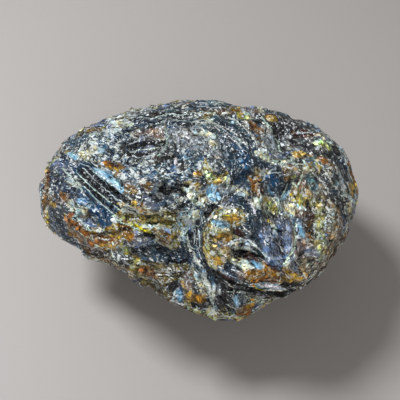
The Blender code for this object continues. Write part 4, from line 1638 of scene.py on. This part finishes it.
def splinters(spots, normals, widths, rng):
    """Splinters in a row: three corners in the surface over a buried fourth."""
    along = np.gradient(spots, axis=0)
    along /= np.maximum(np.linalg.norm(along, axis=1), TINY)[:, None]
    side = np.cross(normals, along)
    count = len(spots)
    turns = np.arange(3) + rng.uniform(-SPLINTER_TURN, SPLINTER_TURN, (count, 3)) + rng.random((count, 1))
    angles = turns * 2 * math.pi / 3
    lengths = rng.uniform(*SPLINTER_LENGTHS, (count, 3))
    ring = (
        (spots + side * rng.normal(0, SPLINTER_STRAY, (count, 1)))[:, None]
        + (np.cos(angles) * lengths)[:, :, None] * along[:, None]
        + (np.sin(angles) * widths[:, None] * SPLINTER_WIDTH)[:, :, None] * side[:, None]
        + rng.uniform(*SPLINTER_HEIGHTS, (count, 3))[:, :, None] * normals[:, None]
    )
    corners = np.concatenate((ring, (spots - normals * SPLINTER_ROOT)[:, None]), axis=1).reshape(-1, 3)
    one = np.array(((0, 1, 2), (3, 1, 0), (3, 2, 1), (3, 0, 2)))
    return corners, (np.arange(count)[:, None, None] * 4 + one).reshape(-1, 3)


def drawn_walks(tree):
    """The points along each listed ridge, with its kind and its width."""
    walks = []
    for kind, lines in RIDGES.items():
        step = SPLINTER_STEP if kind == "dust" else STRIP_STEP
        for width, *places in lines:
            path = laid(tree, places)
            walk = [path[0]]
            for start, end in zip(path, path[1:]):
                steps = max(1, round(np.linalg.norm(end - start) / step))
                walk += [start + (end - start) * (i + 1) / steps for i in range(steps)]
            walks.append((kind, width, walk))
    return walks


def stray_walks(skin, tries, rng):
    """The points along short ridges that wander off the grain, with their kinds and widths."""
    walks = []
    for i in rng.integers(len(skin.points), size=tries):
        if rng.random() > skin.found[i, BUSY] + RIDGE_CHANCE:
            continue
        spot, walk = skin.points[i], []
        heading = skin.grain[i] * rng.choice((-1, 1)) + rng.normal(0, START_STRAY, 3)
        for _ in range(rng.integers(*RIDGE_POINTS)):
            walk.append(spot)
            heading = heading / np.linalg.norm(heading) + rng.normal(0, TURN_STRAY, 3)
            spot = spot + heading / np.linalg.norm(heading) * STRIP_STEP
        walks.append(("ink" if rng.random() < CRACK_SHARE else "dust", rng.uniform(*RIDGE_WIDTHS), walk))
    return walks


def ridges(base, skin, shape):
    """Thin ridges: the listed ones, and short ones scattered along the grain."""
    rng = np.random.default_rng(RIDGE_SEED)
    tree = BVHTree.FromPolygons([Vector(p) for p in base.points], base.faces.tolist())
    walks = drawn_walks(tree) + stray_walks(skin, shape.ridges, rng)
    parts, start = [], 0
    for kind, width, walk in walks:
        ridge = RIDGE_KINDS[kind]
        walk = np.array(walk) + rng.normal(0, ridge.stray, (len(walk), 3))
        spots, normals = map(np.array, zip(*(tree.find_nearest(Vector(spot))[:2] for spot in walk)))
        if len(spots) < 2:
            continue
        from_end = np.minimum(np.arange(len(spots)), np.arange(len(spots))[::-1])
        taper = np.minimum(1, TAPER_START + from_end * TAPER_GROWTH)
        if kind == "dust":
            kept = rng.random(len(spots)) < SPLINTERS_KEPT
            kept[:2] = True
            spots, normals, taper = spots[kept], normals[kept], taper[kept]
        widths = width * taper * rng.uniform(*WIDTH_RANGE, len(spots))
        if kind == "dust":
            corners, faces = splinters(spots, normals, widths, rng)
        else:
            corners, faces = crisp_strip(spots, normals, widths, ridge.height)
        tone = rng.uniform(ridge.darkest, LIGHTEST_RIDGE, (len(spots), 1))
        tone = tone * ridge.colour * rng.uniform(*HUE_RANGE, 3)
        values = np.zeros((len(corners), COLUMNS))
        values[:, COLOUR] = np.repeat(tone, len(corners) // len(spots), axis=0)
        values[:, POWDER] = RIDGE_POWDER
        values[:, GLOSS] = RIDGE_GLOSS
        still = np.zeros(len(corners))
        layers = layered(values, still, still, still, np.zeros_like(corners))
        parts.append(Part(corners, faces + start, layers))
        start += len(corners)
    return Part(*(np.concatenate(rows) for rows in zip(*parts)))


def lump_mesh(shape):
    """The lump, its flakes and its ridges as one mesh, with what its material reads at each point."""
    skin = surface(shape)
    normals = outward_normals(skin.mesh, skin.points)
    base = lump_part(skin, shape.faces)
    parts = (base, flakes(skin, normals, shape), ridges(base, skin, shape))
    starts = np.cumsum([0] + [len(part.points) for part in parts])
    corners = np.concatenate([part.points for part in parts])
    corners[:, 2] = np.maximum(corners[:, 2], 0)
    faces = np.concatenate([part.faces + start for part, start in zip(parts, starts)])
    whole = bpy.data.meshes.new(NODE + "_surface")
    whole.from_pydata((corners * MM).tolist(), [], faces.tolist())
    set_layers(whole, np.concatenate([part.layers for part in parts]))
    return whole


def mottled(spot, kind):
    """Soft noise of one kind at a place."""
    return add_node(
        spot.tree, "ShaderNodeTexNoise", {"noise_dimensions": "3D"},
        Vector=spot * kind.per_mm + (kind.offset,) * 3, Scale=1.0, Detail=kind.layers,
        Roughness=MOTTLE_ROUGHNESS
    )


def cell_at(spot):
    """The uneven cell that a place lies in: its middle, and a random colour for its chances."""
    return add_node(spot.tree, "ShaderNodeTexVoronoi", {"feature": "F1"}, Vector=spot, Scale=1.0)


def cell_chances(cell):
    """A cell's three random numbers, as red, green and blue."""
    return add_node(cell.tree, "ShaderNodeSeparateColor", Color=cell.color)


def tilt(spot, cell):
    """How high a place lies in a cell that tips its own way."""
    return (spot - cell.position).dot(cell.color - HALF)


def layer_terms(tree):
    """The mesh's layers by name, with the tint and the grain put together."""
    found = {name: add_node(tree, "ShaderNodeAttribute", {"attribute_name": name}).fac for name in LAYERS}
    tint = {side.capitalize(): found[side] for side in ("red", "green", "blue")}
    grain = {axis: found[f"grain_{axis.lower()}"] for axis in "XYZ"}
    return SimpleNamespace(
        **found,
        tint=add_node(tree, "ShaderNodeCombineColor", **tint).color,
        grain=add_node(tree, "ShaderNodeCombineXYZ", **grain).vector,
    )


def pattern_terms(tree, at):
    """The mottles and cells that the material is made of. Its fine ones are drawn out along the grain."""
    place = add_node(tree, "ShaderNodeTexCoord").object * (1 / MM)
    sway = (mottled(place, SWAY_MOTTLE).color - HALF) * SWAY
    clump_spot = (place + sway) * CLUMPS_PER_MM
    off = (clump_spot - cell_at(clump_spot).position) * (1 / CLUMPS_PER_MM)
    drawn = place - at.grain * (off.dot(at.grain) * DRAW)
    small_spot = (drawn + sway) * GRAINS_PER_MM
    large_spot = (place + sway) * CELLS_PER_MM
    small, large = cell_at(small_spot), cell_at(large_spot)
    return SimpleNamespace(
        fine=mottled(drawn, FINE_MOTTLE).fac.between(*FINE_RANGE),
        coarse=mottled(place, COARSE_MOTTLE).fac - 0.5,
        hue=mottled(place, HUE_MOTTLE).fac.between(*HUE_MOTTLE_RANGE),
        scratch=mottled(drawn, SCRATCH_MOTTLE).fac - 0.5,
        scratch_breaks=mottled(drawn, SCRATCH_BREAKS).fac,
        streak_breaks=mottled(place, STREAK_BREAKS).fac,
        small=cell_chances(small),
        large=cell_chances(large),
        lean=tilt(small_spot, small),
        slope=tilt(large_spot, large),
    )


def cover_terms(at, noise):
    """How much of each point the powder, the cracks with painted shade, the scratches, the painted glints
    and the windows take.

    Each is a sum of the layers and the patterns that bring it about, with what each of them weighs, cut
    off at 0 and 1.
    """
    # Powder catches on what stands out and runs along the streaks, in flecks, and on some flakes' edges.
    fleck = 0.16 + 0.36 * noise.fine + 0.30 * noise.small.red
    powder = 0.03 + at.crust * 0.8 + at.bulge * 0.20 + noise.coarse * 0.4 + at.streak * 0.30 - fleck
    pale_edge = ((at.rim - 0.80 + (noise.fine - 0.5) * 0.5) * 12).between(0, 1)
    powder = (powder * POWDER_EDGE + 0.5 + pale_edge * 6).between(0, 1)

    # Cracks, and painted shade in the hollows, are where the surface lies low.
    gap = 0.14 - at.bulge * 0.7 - at.streak * 0.25 - 0.35 * noise.small.green - 0.35 * noise.fine
    gap = (gap * CRACK_AND_SHADE_EDGE + 0.5).between(0, 1)

    # Fine scratches are broken contour lines of noise, and others run along the streaks. Both are
    # likelier where it is dusty.
    breaks = (noise.scratch_breaks + at.crust * 0.2).between(*SCRATCH_ENDS)
    scratches = (noise.scratch * noise.scratch).between(*SCRATCH_LINE) * breaks
    breaks = (noise.streak_breaks + at.crust * 0.2).between(*STREAK_ENDS)
    along = (at.streak * at.streak).between(*STREAK_LINE) * breaks * (0.2 + at.busy)

    # Painted glints on single grains, outside the cracks and mostly outside the windows.
    speck = (noise.small.blue + noise.coarse * 0.35).between(*GLINT_SPECK_RANGE)
    speck = speck * (1 - gap) * (1 - at.window * 0.8) * at.busy.between(0, 0.2)

    # Windows have uneven edges, and powder and cracks cover them.
    window = at.window - 0.5 + noise.coarse * 0.4 + (noise.large.green - 0.5) * 0.3
    window = (window * WINDOW_EDGE + 0.5).between(0, 1) * (1 - powder * 0.8) * (1 - gap)
    return SimpleNamespace(powder=powder, gap=gap, scratches=scratches + along, speck=speck, window=window)


def shade_of(at, noise):
    """How bright each cell and grain is, within the tint that it has."""
    large = 1 + (noise.large.green - 0.5) * (0.3 + 1.2 * at.busy)
    small = 1 + (noise.small.green - 0.5) * (0.9 + 0.5 * at.busy)
    return large * small * (1 + at.streak * 0.5)


def rind_colour(at, noise, cover, glass, look):
    """The colour of the rind: glass, then powder, cracks with painted shade, painted glints and scratches
    over it.
    """
    powder = mixed(tuple(look.warm_powder), tuple(look.cool_powder), noise.hue) * (0.4 + noise.small.blue)
    turn = mixed(NO_TURN, mixed(WARM_TURN, COOL_TURN, noise.hue), at.busy.between(0, 0.4))
    colour = mixed(glass * turn, powder, cover.powder)
    # Dark cracks, and painted shade in the hollows.
    colour = mixed(colour, tuple(look.gap_colour), cover.gap)
    # Painted glints on single grains.
    colour = mixed(colour, GLINT_SPECK_COLOUR, cover.speck)
    colour = mixed(colour, SCRATCH_COLOUR, cover.scratches * (1 - at.window) * 0.8)
    return add_node(colour.tree, "ShaderNodeHueSaturation", Saturation=look.richness, Color=colour).color


def lump_material(look):
    """Dark glassy rind under powdery crust, and see-through amber where the windows are."""
    material = new_material("raw_amber")
    tree = material.node_tree
    at = layer_terms(tree)
    noise = pattern_terms(tree, at)
    cover = cover_terms(at, noise)
    glass = at.tint * shade_of(at, noise)

    # Glassy rind is the smoothest and powder the roughest, and each cell differs a little.
    rough = 0.25 - 0.16 * at.gloss + 0.12 * noise.large.red * (1 - at.gloss) + 0.35 * cover.powder

    # Large cells tip most where the rind is busy, and the grains most where it isn't glassy.
    height = noise.slope * (0.5 + 1.3 * at.busy) + noise.lean * (1.8 - 0.8 * at.gloss)
    height = height + noise.fine * 0.15 - cover.gap * 0.3
    bumped = add_node(tree, "ShaderNodeBump", Strength=1.0, Distance=BUMP_DEPTH, Height=height).normal

    rind = add_node(
        tree, "ShaderNodeBsdfPrincipled", Base_Color=rind_colour(at, noise, cover, glass, look),
        Roughness=rough, IOR=look.refraction, Normal=bumped
    )
    # Random cells of the amber are painted paler, as highlights.
    amber = add_node(
        tree, "ShaderNodeBsdfPrincipled",
        Base_Color=mixed(glass, AMBER_HIGHLIGHT, noise.large.blue.between(*AMBER_HIGHLIGHT_RANGE) * AMBER_HIGHLIGHT_SHARE),
        Roughness=AMBER_ROUGHNESS, IOR=look.refraction, Transmission_Weight=look.clearness, Normal=bumped
    )
    skin = add_node(tree, "ShaderNodeMixShader", Fac=cover.window, at_1=rind.bsdf, at_2=amber.bsdf)
    depth = add_node(
        tree, "ShaderNodeVolumeAbsorption", Color=tuple(look.depth_colour), Density=look.depth_density
    )
    add_node(tree, "ShaderNodeOutputMaterial", Surface=skin.shader, Volume=depth.volume)
    return material


def plain_material(name, colour, roughness):
    """A material of one colour."""
    material = new_material(name)
    tree = material.node_tree
    shader = add_node(tree, "ShaderNodeBsdfPrincipled", Base_Color=colour, Roughness=roughness)
    add_node(tree, "ShaderNodeOutputMaterial", Surface=shader.bsdf)
    return material


def linked(obj):
    """Puts an object into the scene."""
    bpy.context.scene.collection.objects.link(obj)
    return obj

def build_lump(shape, look):
    """The dressed lump, in place of the solid."""
    mesh = lump_mesh(shape)
    mesh.materials.append(lump_material(look))
    lump = linked(bpy.data.objects.new("raw_amber", mesh))
    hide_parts(NODE)
    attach(lump, "root")


def aimed(obj, place, target):
    """Puts an object at a place, looking along its own -Z at a target."""
    place, target = Vector(place), Vector(target)
    turn = (target - place).to_track_quat("-Z", "Y")
    obj.matrix_world = Matrix.Translation(place) @ turn.to_matrix().to_4x4()


def build_floor(stage):
    """The floor under the lump."""
    form = bmesh.new()
    bmesh.ops.create_grid(form, x_segments=1, y_segments=1, size=FLOOR_SIZE)
    mesh = bpy.data.meshes.new("floor")
    form.to_mesh(mesh)
    form.free()
    mesh.materials.append(plain_material("pale_floor", tuple(stage.floor_colour), FLOOR_ROUGHNESS))
    linked(bpy.data.objects.new("floor", mesh))


def area_light(name, place, size, power, colour):
    """A round soft light aimed at the lump."""
    lamp = bpy.data.lights.new(name, "AREA")
    lamp.shape = "DISK"
    lamp.size = size
    lamp.energy = power
    lamp.color = colour
    aimed(linked(bpy.data.objects.new(name, lamp)), place, LIGHTS_AIM)


def build_lights(stage):
    """A large soft light, a weak one from the front, and light from all round."""
    area_light("window", WINDOW_PLACE, WINDOW_SIZE, stage.window_power, tuple(stage.window_colour))
    area_light("bounce", BOUNCE_PLACE, BOUNCE_SIZE, BOUNCE_POWER, BOUNCE_COLOUR)
    world = bpy.data.worlds.new("room")
    world.use_nodes = True
    world.node_tree.nodes.clear()
    sky = add_node(world.node_tree, "ShaderNodeBackground", Color=ROOM_COLOUR, Strength=stage.room)
    add_node(world.node_tree, "ShaderNodeOutputWorld", Surface=sky.background)
    bpy.context.scene.world = world


def build_camera():
    """The camera that the marks are placed by."""
    eye = camera_axes()[0]
    lens = bpy.data.cameras.new("camera")
    lens.sensor_width = SENSOR
    lens.lens = SENSOR * FOCAL_UNITS / FRAME_SIDE
    camera = linked(bpy.data.objects.new("camera", lens))
    aimed(camera, eye * MM, AIM * MM)
    bpy.context.scene.camera = camera


class AMBER_OT_make_lump(bpy.types.Operator):
    """Makes the lump's chipped and crusted surface and its material"""

    bl_idname = "amber.make_lump"
    bl_label = "Make Amber Lump"

    def execute(self, context):
        build_lump(context.scene.amber_shape, context.scene.amber_look)
        return {"FINISHED"}


class AMBER_OT_make_stage(bpy.types.Operator):
    """Makes the floor, the lights and the camera"""

    bl_idname = "amber.make_stage"
    bl_label = "Make Stage"

    def execute(self, context):
        stage = context.scene.amber_stage
        build_floor(stage)
        build_lights(stage)
        build_camera()
        context.scene.view_settings.view_transform = "Standard"
        return {"FINISHED"}


class AMBER_PT_panel(bpy.types.Panel):
    """Lists the lump's sizes, its colours and what can be made"""

    bl_label = "Raw Amber Lump"
    bl_idname = "AMBER_PT_panel"
    bl_space_type = "VIEW_3D"
    bl_region_type = "UI"
    bl_category = "Amber"

    def draw(self, context):
        for group, operator in (
            (context.scene.amber_shape, None),
            (context.scene.amber_look, "amber.make_lump"),
            (context.scene.amber_stage, "amber.make_stage"),
        ):
            column = self.layout.column()
            for name in group.__annotations__:
                column.prop(group, name)
            if operator:
                column.operator(operator)


GROUPS = {"amber_shape": AmberShape, "amber_look": AmberLook, "amber_stage": AmberStage}
CLASSES = (*GROUPS.values(), AMBER_OT_make_lump, AMBER_OT_make_stage, AMBER_PT_panel)


def register():
    """Registers the classes, and the settings on the scene."""
    for cls in CLASSES:
        bpy.utils.register_class(cls)
    for name, group in GROUPS.items():
        setattr(bpy.types.Scene, name, PointerProperty(type=group))


def unregister():
    """Takes back what register did."""
    for name in GROUPS:
        delattr(bpy.types.Scene, name)
    for cls in reversed(CLASSES):
        bpy.utils.unregister_class(cls)


def main():
    """Makes the stage and the lump."""
    register()
    bpy.ops.amber.make_stage()
    bpy.ops.amber.make_lump()


if __name__ == "__main__":
    main()
